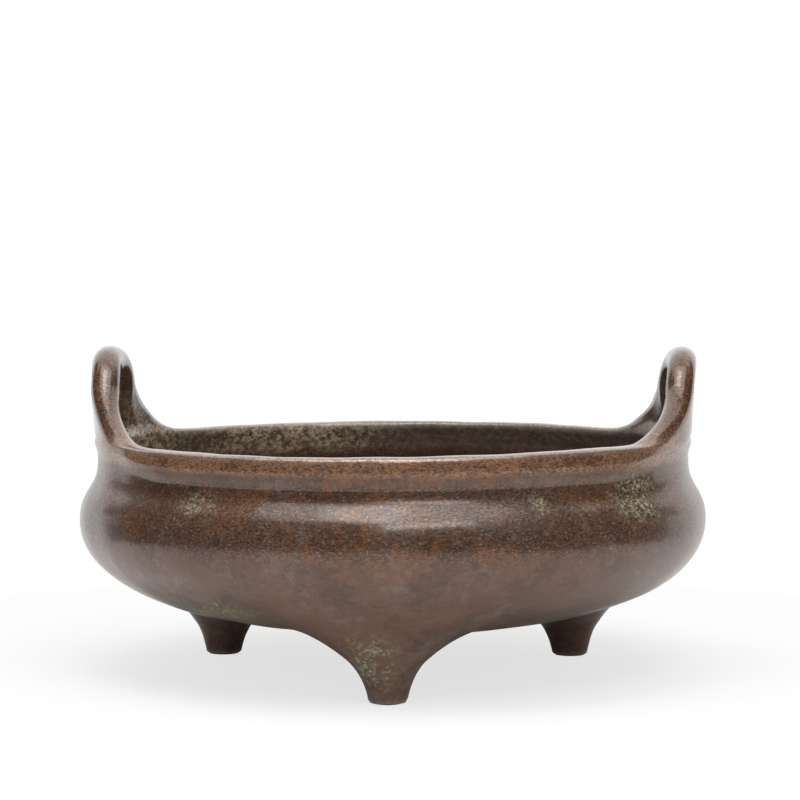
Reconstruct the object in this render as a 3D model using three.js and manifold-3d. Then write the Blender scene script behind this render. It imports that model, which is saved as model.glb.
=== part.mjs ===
// A tripod incense burner in patinated bronze, in millimetres, +Z up.
// The origin is on the ground below the middle of the bowl. One foot points to -Y, the ears stand at -X and +X.
// Six castings: the bowl, three feet with riveted tenons, and two ears whose tenons sit in sockets above the rim.
import * as THREE from "three";
import { mergeVertices } from "three/addons/utils/BufferGeometryUtils.js";
import Module from "manifold-3d";

// Bowl: outside sizes
const BELLY_RADIUS = 90;
const BELLY_HEIGHT = 44.5; // of the widest ring above the ground
const UNDERSIDE_HEIGHT = 13; // of the middle of the underside above the ground
const SIDE_ROUND = 24; // how far in from the widest ring the underside begins to turn up
const BELLY_DROP = 17; // how far below the widest ring the side stays steep
const NECK_HEIGHT = 60.4; // of the narrowest ring above the ground
const NECK_INSET = 5.7; // how far the neck stands in from the belly's side
const SHOULDER_FULL_SHARE = 0.53; // share of the shoulder's rise over which it keeps to the belly's side
const SHOULDER_HOLLOW_SHARE = 0.345; // share over which it keeps to the neck's side
const LIP_RISE = 7; // from the neck to the top of the lip
const LIP_FLARE = 1.3; // how far the lip stands out from the neck
const LIP_WIDTH = 6.4;
const LIP_DEPTH = 4.6; // height of the lip's outer face
const LIP_ROUND = 1.1; // rounding of the lip's outer top edge
const LIP_BEVEL_HEIGHT = 2.4; // slope on the lip's inner edge
const LIP_BEVEL_WIDTH = 1.9;

// Bowl: walls
const WALL = 4.2;
const NECK_WALL = 4.1;

// Feet
const FOOT_INSET = 29.9; // of each foot's axis from the belly's side
const FOOT_ANGLES = { foot_front: -90, foot_rear_right: 30, foot_rear_left: 150 };
const SOLE_RADIUS = 4.2;
const SOLE_ROUND = 1.1;
const SEAT_HEIGHT = 11; // ground to the plane where a foot meets the bowl
const SEAT_RADIUS = 10.2;
const SEAT_RADIUS_OUT = 9; // on the side that faces away from the bowl's axis
const SHANK_SPREAD = 0.9; // the shank widens this much over the lower share of the foot
const SHANK_SHARE = 0.5;
const CALF_SPREAD = 2.4; // and this much over the rest, from the upper share to the seat
const CALF_SHARE = 0.76;
const FLARE_SLOPE = 0.95; // rise of the flank above the seat, along the rim and towards the bowl's axis
const FLARE_SLOPE_OUT = 2.3; // the same on the side that faces away
const FLARE_BLEND = 10; // height over which a flank melts into the belly
const FLARE_WIDTH = 18.8; // from the edge of the seat to where the blend ends
const FLARE_SINK = 0.15; // how far the blend's edge dips into the wall
const DIMPLE_RISE = 5.6; // from the seat to the floor of the hollow above each foot
const DIMPLE_RADIUS = 8.5;
const DIMPLE_ROUND = 1.5; // bevel between its floor and its side
const DIMPLE_SPREAD = 0.5; // how much its radius grows with each millimetre of height
const TENON_RADIUS = 3.4;
const TENON_ROOT = 3; // how deep the tenon is drawn into its foot
const RIVET_RADIUS = 5;
const RIVET_HEIGHT = 1.8;

// Ears
const EAR_HEIGHT = 26.1; // of the crown's top above the lip
const EAR_THICKNESS = 7; // of the crown, from its top to the opening
const EAR_DEPTH = 8; // of the crown, from its outer to its inner side
const EAR_OVERHANG = 1.3; // how far the crown stands outside the lip
const EAR_HALF_WIDTH = 20; // along the rim, where the legs turn into the crown
const EAR_LEG_HEIGHT = 15.9; // of that place above the lip
const CROWN_ROUND = 4.6; // how far above that place the crown still climbs steeply
const CROWN_LEAN = 2.8; // and how far it leans in over that height
const CROWN_FLAT_SHARE = 0.65; // share of the half width over which the crown's top is nearly level
const OPENING_HALF_WIDTH = 13;
const OPENING_LEG_HEIGHT = 12.4; // where the opening's sides turn into its arch, above the lip
const OPENING_LEAN = 0.4; // how far its sides lean in above that place
const OPENING_ROUND_SHARE = 0.62; // share of the arch's height over which they do
const OPENING_FLAT_SHARE = 0.6;
const ROOT_REACH = 52; // from the middle of the ear to where a root rises from the lip, along the rim
const ROOT_SWEEP = 13.5; // how far beyond the leg a root follows the lip before it turns up
const ROOT_SPREAD = 4; // how much wider the legs stand just below their turn into the crown
const ROOT_DROP = 4.5; // how far below that turn
const JAMB_SWEEP = 5; // how far the opening's side runs out along the foot of its leg
const JAMB_SPREAD = 0.6;
const ROOT_INSET = 0.25; // how far the end of a root stays inside the lip's faces
const ROOT_SQUARENESS = 0.62; // a power: 1 makes an oval section, less makes it squarer
const CROWN_SQUARENESS = 0.97;
const EAR_SEAT_HEIGHT = 9.4; // of the plane where an ear meets its roots, above the lip
const EAR_TENON_SPREAD = 18.2; // from the middle of the ear to each tenon, along the rim
const EAR_TENON_RADIUS = 2.2;
const EAR_TENON_LENGTH = 6.5;
const EAR_TENON_ROOT = 2; // how deep a tenon is drawn into its ear

const CLEARANCE = 0.3; // gap of every fitted joint, filled with solder on the real one
const OVERCUT = 1; // how far a cutting body runs past the face that it opens

// Facets
const BOWL_STEPS = 56;
const BELLY_STEPS = 13;
const HOLLOW_STEPS = 10;
const SHOULDER_STEPS = 7;
const INNER_SHOULDER_STEPS = 5;
const EDGE_STEPS = 3;
const FOOT_STEPS = 28;
const SHANK_STEPS = 6;
const FLARE_STEPS = 9;
const TENON_STEPS = 16;
const RIVET_STEPS = 5;
const EAR_STEPS = 11; // in a root, and again in each half of a crown
const EAR_SIDES = 12;
const BELLY_SAMPLES = 200; // points read along the belly's curve to find its height

// Sizes that follow from those above
const NECK_RADIUS = BELLY_RADIUS - NECK_INSET;
const NECK_INNER_RADIUS = NECK_RADIUS - NECK_WALL;
const UNDERSIDE_FULLNESS = BELLY_RADIUS - SIDE_ROUND;
const SHOULDER_RISE = NECK_HEIGHT - BELLY_HEIGHT;
const LIP_TOP = NECK_HEIGHT + LIP_RISE;
const LIP_BOTTOM = LIP_TOP - LIP_DEPTH;
const LIP_OUTER_RADIUS = NECK_RADIUS + LIP_FLARE;
const LIP_INNER_RADIUS = LIP_OUTER_RADIUS - LIP_WIDTH;
const LIP_MIDDLE = (LIP_OUTER_RADIUS + LIP_INNER_RADIUS) / 2;
const FOOT_CIRCLE = BELLY_RADIUS - FOOT_INSET;
const DIMPLE_FLOOR = SEAT_HEIGHT + DIMPLE_RISE;
const EAR_OUTER_RADIUS = LIP_OUTER_RADIUS + EAR_OVERHANG;
const EAR_MIDDLE = EAR_OUTER_RADIUS - EAR_DEPTH / 2;
const EAR_TOP = LIP_TOP + EAR_HEIGHT;
const EAR_SHOULDER = LIP_TOP + EAR_LEG_HEIGHT;
const OPENING_TOP = EAR_TOP - EAR_THICKNESS;
const OPENING_SHOULDER = LIP_TOP + OPENING_LEG_HEIGHT;
const EAR_SPLIT = LIP_TOP + EAR_SEAT_HEIGHT;

const wasm = await Module();
wasm.setup();

const at = (x, y) => new THREE.Vector2(x, y);
const lerp = THREE.MathUtils.lerp;
const radians = THREE.MathUtils.degToRad;

// A closed geometry as a solid that can be joined and cut.
function solid(geometry) {
  const bare = geometry.index ? geometry.toNonIndexed() : geometry.clone();
  bare.deleteAttribute("normal");
  bare.deleteAttribute("uv");
  const merged = mergeVertices(bare, 1e-4);
  const mesh = new wasm.Mesh({
    numProp: 3,
    vertProperties: merged.attributes.position.array,
    triVerts: new Uint32Array(merged.index.array),
  });
  return new wasm.Manifold(mesh);
}

// The solid back as a geometry that a mesh can show.
function geometryOf(body) {
  const mesh = body.getMesh();
  const points = new Float32Array(mesh.numVert * 3);
  for (let i = 0; i < mesh.numVert; i++) {
    const start = i * mesh.numProp;
    points.set(mesh.vertProperties.subarray(start, start + 3), i * 3);
  }
  const geometry = new THREE.BufferGeometry();
  geometry.setAttribute("position", new THREE.BufferAttribute(points, 3));
  geometry.setIndex(new THREE.BufferAttribute(new Uint32Array(mesh.triVerts), 1));
  geometry.computeVertexNormals();
  return geometry;
}

// A profile of (radius, height) points, turned about an upright axis.
function turned(points, steps, centre = at(0, 0)) {
  const geometry = new THREE.LatheGeometry(points, steps);
  geometry.rotateX(Math.PI / 2);
  geometry.translate(centre.x, centre.y, 0);
  return solid(geometry);
}

// Everything between two heights.
function slab(bottom, top) {
  const width = 4 * BELLY_RADIUS;
  const geometry = new THREE.BoxGeometry(width, width, top - bottom);
  geometry.translate(0, 0, (bottom + top) / 2);
  return solid(geometry);
}

// Rings of points, closed with a fan at each end.
function skinned(rings) {
  const steps = rings[0].length;
  const middle = (ring) => ring.reduce((sum, p) => sum.add(p), new THREE.Vector3()).divideScalar(steps);
  const points = [...rings.flat(), middle(rings[0]), middle(rings[rings.length - 1])];
  const first = points.length - 2;
  const top = (rings.length - 1) * steps;
  const index = [];
  for (let j = 0; j < steps; j++) {
    const k = (j + 1) % steps;
    index.push(first, k, j, first + 1, top + j, top + k);
    for (let i = 0; i + 1 < rings.length; i++) {
      const low = i * steps;
      const high = low + steps;
      index.push(low + j, low + k, high + k, low + j, high + k, high + j);
    }
  }
  return solid(new THREE.BufferGeometry().setFromPoints(points).setIndex(index));
}

const cubic = (a, b, c, d) => new THREE.CubicBezierCurve(at(...a), at(...b), at(...c), at(...d));
const quadratic = (a, b, c) => new THREE.QuadraticBezierCurve(at(...a), at(...b), at(...c));

// Points along curves that follow one another, each given with its number of steps.
// A plain point between them adds a straight stretch.
function chained(...pieces) {
  return pieces.flatMap((piece) => (piece.isVector2 ? [piece] : piece[0].getPoints(piece[1])));
}

// The underside and belly, from the middle out and up to the widest ring, set in by a wall's thickness.
function bellyCurve(inset) {
  const bottom = UNDERSIDE_HEIGHT + inset;
  const side = BELLY_RADIUS - inset;
  const steep = BELLY_HEIGHT - BELLY_DROP + inset / 2;
  return cubic([0, bottom], [UNDERSIDE_FULLNESS - inset / 2, bottom], [side, steep], [side, BELLY_HEIGHT]);
}

// The shoulder, from the widest ring in and up to the neck.
function shoulderCurve(side, neck) {
  const full = BELLY_HEIGHT + SHOULDER_RISE * SHOULDER_FULL_SHARE;
  const hollow = NECK_HEIGHT - SHOULDER_RISE * SHOULDER_HOLLOW_SHARE;
  return cubic([side, BELLY_HEIGHT], [side, full], [neck, hollow], [neck, NECK_HEIGHT]);
}

// The outside of the bowl as a full body: belly, shoulder, hollow neck and upright lip.
function bowlOutside() {
  const corner = LIP_TOP - LIP_ROUND;
  const flare = quadratic([NECK_RADIUS, NECK_HEIGHT], [NECK_RADIUS, LIP_BOTTOM], [LIP_OUTER_RADIUS, LIP_BOTTOM]);
  const edge = quadratic(
    [LIP_OUTER_RADIUS, corner],
    [LIP_OUTER_RADIUS, LIP_TOP],
    [LIP_OUTER_RADIUS - LIP_ROUND, LIP_TOP],
  );
  const belly = [bellyCurve(0), BELLY_STEPS];
  const shoulder = [shoulderCurve(BELLY_RADIUS, NECK_RADIUS), SHOULDER_STEPS];
  return turned(chained(belly, shoulder, [flare, EDGE_STEPS], [edge, EDGE_STEPS], at(0, LIP_TOP)), BOWL_STEPS);
}

// The space inside the bowl, open above the lip.
function bowlInside() {
  const mouth = LIP_INNER_RADIUS + LIP_BEVEL_WIDTH;
  const bevel = LIP_TOP - LIP_BEVEL_HEIGHT;
  const slope = quadratic([LIP_INNER_RADIUS, bevel], [LIP_INNER_RADIUS, LIP_TOP], [mouth, LIP_TOP]);
  const belly = [bellyCurve(WALL), HOLLOW_STEPS];
  const shoulder = [shoulderCurve(BELLY_RADIUS - WALL, NECK_INNER_RADIUS), INNER_SHOULDER_STEPS];
  const open = LIP_TOP + OVERCUT;
  return turned(chained(belly, shoulder, [slope, EDGE_STEPS], at(mouth, open), at(0, open)), BOWL_STEPS);
}

// Height of the belly's outside above the ground at a distance from the axis.
const bellyPoints = bellyCurve(0).getPoints(BELLY_SAMPLES);
function bellyHeight(distance) {
  const past = bellyPoints.findIndex((p) => p.x >= distance);
  if (past === 0) return UNDERSIDE_HEIGHT;
  if (past < 0) return BELLY_HEIGHT;
  const a = bellyPoints[past - 1];
  const b = bellyPoints[past];
  return lerp(a.y, b.y, (distance - a.x) / (b.x - a.x));
}

// The flank of a foot: a rounded sole, a hollow taper up to the seat, then straight up to the blend's edge.
function flank(seat, slope) {
  const edge = SOLE_RADIUS + SOLE_ROUND;
  const sole = quadratic([SOLE_RADIUS, 0], [edge, 0], [edge, SOLE_ROUND]);
  const taper = cubic(
    [edge, SOLE_ROUND],
    [edge + SHANK_SPREAD, SEAT_HEIGHT * SHANK_SHARE],
    [seat - CALF_SPREAD, SEAT_HEIGHT * CALF_SHARE],
    [seat, SEAT_HEIGHT],
  );
  const end = at(seat + FLARE_WIDTH, SEAT_HEIGHT + FLARE_WIDTH * slope);
  const flare = new THREE.LineCurve(at(seat, SEAT_HEIGHT), end);
  const curves = [sole.getPoints(EDGE_STEPS), taper.getPoints(SHANK_STEPS), flare.getPoints(FLARE_STEPS)];
  return curves.flatMap((points, i) => points.slice(i ? 1 : 0));
}

const footCentre = (angle) => at(Math.cos(angle), Math.sin(angle)).multiplyScalar(FOOT_CIRCLE);

// A foot with the flare above it: rings around the foot's axis, which follow the flank and melt into the belly.
function legSolid(angle) {
  const centre = footCentre(angle);
  const outward = flank(SEAT_RADIUS_OUT, FLARE_SLOPE_OUT);
  const rings = flank(SEAT_RADIUS, FLARE_SLOPE).map((sideways, i) => {
    const ring = [];
    for (let j = 0; j < FOOT_STEPS; j++) {
      const turn = (2 * Math.PI * j) / FOOT_STEPS;
      const facing = Math.max(0, Math.cos(turn)) ** 2;
      const leg = sideways.clone().lerp(outward[i], facing);
      const x = centre.x + leg.x * Math.cos(turn + angle);
      const y = centre.y + leg.x * Math.sin(turn + angle);
      const belly = bellyHeight(Math.hypot(x, y));
      const above = (leg.y - belly) / FLARE_BLEND;
      const near = Math.max(1 - Math.abs(above), 0);
      const sink = THREE.MathUtils.clamp(above, 0, 1) ** 2 * FLARE_SINK;
      const blended = Math.min(leg.y, belly) - (near ** 2 * FLARE_BLEND) / 4 + sink;
      ring.push(new THREE.Vector3(x, y, Math.max(blended, 0)));
    }
    return ring;
  });
  // One more ring in the middle of the wall gives the join with the bowl a clean edge.
  const buried = rings[rings.length - 1].map((p) => new THREE.Vector3(p.x, p.y, p.z + WALL / 2));
  return skinned([...rings, buried]);
}

// The outer edge of half an ear, laid out flat as (along the rim, height), from its root on the lip to its crown.
function earOuterEdge() {
  const low = LIP_TOP - ROOT_INSET;
  const wide = EAR_HALF_WIDTH;
  const sweep = [wide + ROOT_SWEEP, low];
  const leg = [wide + ROOT_SPREAD, EAR_SHOULDER - ROOT_DROP];
  const turn = [wide - CROWN_LEAN, EAR_SHOULDER + CROWN_ROUND];
  return [
    cubic([ROOT_REACH, low], sweep, leg, [wide, EAR_SHOULDER]),
    cubic([wide, EAR_SHOULDER], turn, [wide * CROWN_FLAT_SHARE, EAR_TOP], [0, EAR_TOP]),
  ];
}

// The edge of the opening in the same plane. Below the lip it only runs through the metal.
function earInnerEdge() {
  const low = LIP_BOTTOM + ROOT_INSET;
  const wide = OPENING_HALF_WIDTH;
  const turn = [wide - OPENING_LEAN, lerp(OPENING_SHOULDER, OPENING_TOP, OPENING_ROUND_SHARE)];
  const flat = [wide * OPENING_FLAT_SHARE, OPENING_TOP];
  return [
    cubic([ROOT_REACH, low], [wide + JAMB_SWEEP, low], [wide + JAMB_SPREAD, low], [wide, OPENING_SHOULDER]),
    cubic([wide, OPENING_SHOULDER], turn, flat, [0, OPENING_TOP]),
  ];
}

// A power of a sine or cosine that keeps its sign. Powers under 1 make an oval squarer.
const squared = (value, power) => Math.sign(value) * Math.abs(value) ** power;

// An ear with both its roots, at the +X side: oval sections between the two edges, bent round the rim.
function earSolid() {
  const outer = earOuterEdge();
  const inner = earInnerEdge();
  const lipHalf = LIP_WIDTH / 2 - ROOT_INSET;
  const rings = [];
  for (let i = -2 * EAR_STEPS; i <= 2 * EAR_STEPS; i++) {
    const side = i < 0 ? 1 : -1;
    const step = 2 * EAR_STEPS - Math.abs(i);
    const piece = step < EAR_STEPS ? 0 : 1;
    const share = step / EAR_STEPS - piece;
    const high = outer[piece].getPoint(share);
    const low = inner[piece].getPoint(share);
    const rise = THREE.MathUtils.smoothstep((high.y + low.y) / 2, LIP_TOP, EAR_SHOULDER);
    const power = lerp(ROOT_SQUARENESS, CROWN_SQUARENESS, rise);
    const half = lerp(lipHalf, EAR_DEPTH / 2, rise);
    const ring = [];
    for (let j = 0; j < EAR_SIDES; j++) {
      const turn = (2 * Math.PI * (j + 0.5)) / EAR_SIDES;
      const radius = lerp(LIP_MIDDLE, EAR_MIDDLE, rise) + squared(Math.cos(turn), power) * half;
      const flat = low.clone().lerp(high, 0.5 + squared(Math.sin(turn), power) / 2);
      const angle = (side * flat.x) / LIP_MIDDLE;
      ring.push(new THREE.Vector3(radius * Math.cos(angle), radius * Math.sin(angle), flat.y));
    }
    rings.push(ring);
  }
  return skinned(rings);
}

// Two upright pins on the middles of an ear's legs.
function earPins(bottom, top, radius) {
  const angle = EAR_TENON_SPREAD / LIP_MIDDLE;
  const points = [at(0, bottom), at(radius, bottom), at(radius, top), at(0, top)];
  const pin = (a) => turned(points, TENON_STEPS, at(Math.cos(a), Math.sin(a)).multiplyScalar(LIP_MIDDLE));
  return pin(angle).add(pin(-angle));
}

// The hollow above a foot, and the hole for its tenon.
function dimple(angle) {
  const centre = footCentre(angle);
  const side = DIMPLE_FLOOR + DIMPLE_ROUND;
  const mouth = DIMPLE_RADIUS + (BELLY_HEIGHT - side) * DIMPLE_SPREAD;
  const hollow = [
    at(0, DIMPLE_FLOOR),
    at(DIMPLE_RADIUS - DIMPLE_ROUND, DIMPLE_FLOOR),
    at(DIMPLE_RADIUS, side),
    at(mouth, BELLY_HEIGHT),
    at(0, BELLY_HEIGHT),
  ];
  const hole = TENON_RADIUS + CLEARANCE;
  const below = SEAT_HEIGHT - OVERCUT;
  const above = DIMPLE_FLOOR + OVERCUT;
  const bore = [at(0, below), at(hole, below), at(hole, above), at(0, above)];
  return turned(hollow, FOOT_STEPS, centre).add(turned(bore, TENON_STEPS, centre));
}

function buildBowl(legs, ears) {
  let bowl = bowlOutside();
  for (const leg of Object.values(legs)) {
    bowl = bowl.add(leg.intersect(slab(SEAT_HEIGHT, LIP_TOP)));
  }
  bowl = bowl.subtract(bowlInside());
  for (const degrees of Object.values(FOOT_ANGLES)) {
    bowl = bowl.subtract(dimple(radians(degrees)));
  }
  for (const ear of Object.values(ears)) {
    bowl = bowl.add(ear.whole.intersect(slab(0, EAR_SPLIT))).subtract(ear.sockets);
  }
  return bowl;
}

// A foot below its seat, with the tenon that goes through the bowl and is riveted over inside.
function buildFoot(leg, angle) {
  const headBottom = DIMPLE_FLOOR + CLEARANCE;
  const headTop = headBottom + RIVET_HEIGHT;
  const root = SEAT_HEIGHT - TENON_ROOT;
  const head = quadratic([RIVET_RADIUS, headBottom], [RIVET_RADIUS, headTop], [0, headTop]);
  const tenon = chained(at(0, root), at(TENON_RADIUS, root), at(TENON_RADIUS, headBottom), [head, RIVET_STEPS]);
  const peg = leg.intersect(slab(-OVERCUT, SEAT_HEIGHT - CLEARANCE));
  return peg.add(turned(tenon, TENON_STEPS, footCentre(angle)));
}

function buildEar(ear) {
  return ear.whole.intersect(slab(EAR_SPLIT + CLEARANCE, EAR_TOP + OVERCUT)).add(ear.tenons);
}

function named(name, body) {
  const bronze = new THREE.MeshStandardMaterial({ color: 0x5a4036, metalness: 0.85, roughness: 0.38 });
  const mesh = new THREE.Mesh(geometryOf(body), bronze);
  mesh.name = name;
  return mesh;
}

const legs = {};
for (const [name, degrees] of Object.entries(FOOT_ANGLES)) {
  legs[name] = legSolid(radians(degrees));
}

const ears = {};
const wholeEar = earSolid();
const socketBottom = EAR_SPLIT - EAR_TENON_LENGTH;
const tenons = earPins(socketBottom, EAR_SPLIT + EAR_TENON_ROOT, EAR_TENON_RADIUS);
const sockets = earPins(socketBottom - CLEARANCE, EAR_SPLIT + OVERCUT, EAR_TENON_RADIUS + CLEARANCE);
for (const [name, turn] of [["ear_right", 0], ["ear_left", 180]]) {
  ears[name] = {
    whole: wholeEar.rotate([0, 0, turn]),
    tenons: tenons.rotate([0, 0, turn]),
    sockets: sockets.rotate([0, 0, turn]),
  };
}

const burner = new THREE.Group();
burner.add(named("bowl", buildBowl(legs, ears)));
for (const [name, degrees] of Object.entries(FOOT_ANGLES)) {
  burner.add(named(name, buildFoot(legs[name], radians(degrees))));
}
for (const [name, ear] of Object.entries(ears)) {
  burner.add(named(name, buildEar(ear)));
}

export default burner;
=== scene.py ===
# %% [markdown]
# # A bronze incense burner
#
# A squat tripod burner with a round belly, a short waisted neck, an everted lip and two arched ears.
# It is a lost-wax casting: every edge was soft wax once, and every join was smoothed by a thumb.
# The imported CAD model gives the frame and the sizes. The cells below dress it with smooth castings
# and a patina that is built from shader nodes.

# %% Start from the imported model
import math

import bmesh
import bpy
import numpy as np
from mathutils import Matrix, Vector, noise


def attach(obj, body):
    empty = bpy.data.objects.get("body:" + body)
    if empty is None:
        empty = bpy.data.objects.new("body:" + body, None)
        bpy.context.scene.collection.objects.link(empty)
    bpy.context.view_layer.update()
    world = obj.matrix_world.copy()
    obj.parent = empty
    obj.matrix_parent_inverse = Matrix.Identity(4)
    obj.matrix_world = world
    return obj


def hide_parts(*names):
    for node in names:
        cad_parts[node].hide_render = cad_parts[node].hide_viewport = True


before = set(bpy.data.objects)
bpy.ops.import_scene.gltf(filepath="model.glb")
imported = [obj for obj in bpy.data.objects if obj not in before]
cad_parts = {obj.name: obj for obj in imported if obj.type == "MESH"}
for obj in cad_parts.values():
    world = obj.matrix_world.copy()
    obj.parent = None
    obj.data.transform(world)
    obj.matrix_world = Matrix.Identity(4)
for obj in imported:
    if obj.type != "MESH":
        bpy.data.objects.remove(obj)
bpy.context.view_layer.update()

MILLIMETRE = 0.001
scene = bpy.context.scene
print("CAD nodes:", ", ".join(sorted(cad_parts)))

# %% [markdown]
# ## The camera
#
# The burner was photographed from the front and slightly above with a long lens, so its ellipses are flat.
# A camera could be placed by eye, but the ellipses of lip, belly and feet fix it much better: distance,
# height and tilt come from a fit to their outlines.

# %% Place the camera
CAMERA_PLACE = (0.0264, -0.76335, 0.1169)
CAMERA_TILT = 87.08  # degrees, 90 looks level
CAMERA_TURN = 1.83
CAMERA_LENS = 119.35  # millimetres, on a sensor 36 mm wide

camera_data = bpy.data.cameras.new("camera")
camera_data.lens = CAMERA_LENS
camera_data.sensor_width = 36
camera = bpy.data.objects.new("camera", camera_data)
camera.location = CAMERA_PLACE
camera.rotation_euler = (math.radians(CAMERA_TILT), 0, math.radians(CAMERA_TURN))
scene.collection.objects.link(camera)
scene.camera = camera
print("camera stands", round(-CAMERA_PLACE[1], 3), "m in front of the burner's axis")

# %% [markdown]
# ## Curves and outlines
#
# Everything on the burner was shaped from outlines: the bowl's section was swept round its axis, and the
# ears were cut from a flat strip and bent round the rim. A curve object could hold each outline, but plain
# points do too, and the same points serve twice: for the rough meshes and for the smooth surface. Sizes are
# in millimetres here and become metres when a mesh is made.

# %% Helpers for curves
CURVE_STEPS = 20


def bezier(*points, steps=CURVE_STEPS):
    """Points along a Bezier curve of degree 2 or 3, both ends included."""
    share = np.linspace(0, 1, steps + 1)[:, None]
    rows = [np.asarray(point, float)[None, :] + 0 * share for point in points]
    while len(rows) > 1:
        rows = [a * (1 - share) + b * share for a, b in zip(rows, rows[1:])]
    return rows[0]


def chain(*curves):
    """Curves that follow one another as one list of points, without the points that repeat."""
    points = np.vstack(curves)
    far = np.linalg.norm(np.diff(points, axis=0), axis=1) > 1e-6
    return points[np.concatenate([[True], far])]


def mirrored(curve):
    """The curve on the other side of the upright axis, run backwards."""
    return (curve * (-1, 1))[::-1]


print("points on a plain curve:", len(bezier((0, 0), (1, 1), (2, 0))))

# %% [markdown]
# ### The bowl
#
# A squat belly turns in to a short waisted neck, and the neck turns out again to a lip with an upright
# face. Four curves draw the outside from the middle of the underside to the lip, and four draw the hollow.
# The wall has an even thickness, as it has between a core and a mould.

# %% Sizes of the bowl
BELLY_RADIUS = 90.0
BELLY_HEIGHT = 44.5  # of the widest ring above the ground
UNDERSIDE_HEIGHT = 13.0
SIDE_ROUND = 24.0  # how far in from the widest ring the underside begins to turn up
BELLY_DROP = 17.0  # how far below the widest ring the side stays steep
WALL = 4.2
NECK_HEIGHT = 60.4
NECK_INSET = 5.7  # how far the neck stands in from the belly's side
NECK_RADIUS = BELLY_RADIUS - NECK_INSET
NECK_WALL = 4.1
NECK_INNER_RADIUS = NECK_RADIUS - NECK_WALL
SHOULDER_FULL_SHARE = 0.53  # share of the shoulder's rise over which it keeps to the belly's side
SHOULDER_HOLLOW_SHARE = 0.345  # share over which it keeps to the neck's side

LIP_RISE = 7.0  # from the neck to the top of the lip
LIP_TOP = NECK_HEIGHT + LIP_RISE
LIP_DEPTH = 4.6  # height of the lip's outer face
LIP_FLARE = 1.3  # how far the lip stands out from the neck
LIP_WIDTH = 6.4
LIP_OUTER_RADIUS = NECK_RADIUS + LIP_FLARE
LIP_INNER_RADIUS = LIP_OUTER_RADIUS - LIP_WIDTH
LIP_MIDDLE = (LIP_OUTER_RADIUS + LIP_INNER_RADIUS) / 2
LIP_ROUND = 2.1
LIP_UNDER_ROUND = 0.8
LIP_BEVEL_HEIGHT = 2.4
LIP_BEVEL_WIDTH = 1.9
print("the bowl is", 2 * BELLY_RADIUS, "mm across and its lip stands", LIP_TOP, "mm high")

# %% The bowl's section, as (radius, height)
BELLY_STEPS = 84
HOLLOW_STEPS = 80
SHOULDER_STEPS = 16
INNER_SHOULDER_STEPS = 14
PAST_LIP = 4  # how far the cutting body of the hollow stands above the lip


def belly_curve(inset, steps):
    low = UNDERSIDE_HEIGHT + inset
    side = BELLY_RADIUS - inset
    flat = BELLY_RADIUS - SIDE_ROUND - inset / 2
    steep = BELLY_HEIGHT - BELLY_DROP + inset / 2
    return bezier((0, low), (flat, low), (side, steep), (side, BELLY_HEIGHT), steps=steps)


def shoulder_curve(side, neck, steps):
    rise = NECK_HEIGHT - BELLY_HEIGHT
    full = (side, BELLY_HEIGHT + SHOULDER_FULL_SHARE * rise)
    hollow = (neck, NECK_HEIGHT - SHOULDER_HOLLOW_SHARE * rise)
    return bezier((side, BELLY_HEIGHT), full, hollow, (neck, NECK_HEIGHT), steps=steps)


def outside_section():
    fold = (LIP_OUTER_RADIUS, LIP_TOP - LIP_DEPTH + LIP_UNDER_ROUND)
    rise = (NECK_RADIUS, NECK_HEIGHT + LIP_UNDER_ROUND)
    spread = (LIP_OUTER_RADIUS, LIP_TOP - LIP_DEPTH)
    corner = (LIP_OUTER_RADIUS, LIP_TOP)
    flare = bezier((NECK_RADIUS, NECK_HEIGHT), rise, spread, fold, steps=12)
    face = np.linspace(fold, (LIP_OUTER_RADIUS, LIP_TOP - LIP_ROUND), 4)
    edge = bezier(face[-1], corner, (LIP_OUTER_RADIUS - LIP_ROUND, LIP_TOP), steps=6)
    top = np.linspace(edge[-1], (LIP_INNER_RADIUS - 2, LIP_TOP), 6)
    belly = belly_curve(0, BELLY_STEPS)
    shoulder = shoulder_curve(BELLY_RADIUS, NECK_RADIUS, SHOULDER_STEPS)
    return chain(belly, shoulder, flare, face, edge, top, np.array([(0, LIP_TOP)]))


def hollow_section():
    bevel = (LIP_INNER_RADIUS, LIP_TOP - LIP_BEVEL_HEIGHT)
    mouth = (LIP_INNER_RADIUS + LIP_BEVEL_WIDTH, LIP_TOP)
    slope = bezier(bevel, (LIP_INNER_RADIUS, LIP_TOP), mouth, steps=8)
    neck = np.linspace((NECK_INNER_RADIUS, NECK_HEIGHT), bevel, 4)
    above = np.array([(mouth[0] + 1, LIP_TOP + PAST_LIP), (0, LIP_TOP + PAST_LIP)])
    belly = belly_curve(WALL, HOLLOW_STEPS)
    shoulder = shoulder_curve(BELLY_RADIUS - WALL, NECK_INNER_RADIUS, INNER_SHOULDER_STEPS)
    return chain(belly, shoulder, neck, slope, above)


outside = outside_section()
hollow = hollow_section()
print("points in the bowl's section:", len(outside) + len(hollow))

# %% [markdown]
# ### The feet
#
# Three short pegs stand on a circle inside the widest ring, one in front and two behind. Each swells out
# into the belly above its seat, less on the side that faces away, where the belly turns up. Inside the bowl
# a round hollow follows the swell, so that the wall stays thin and the casting cools evenly.

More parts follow.
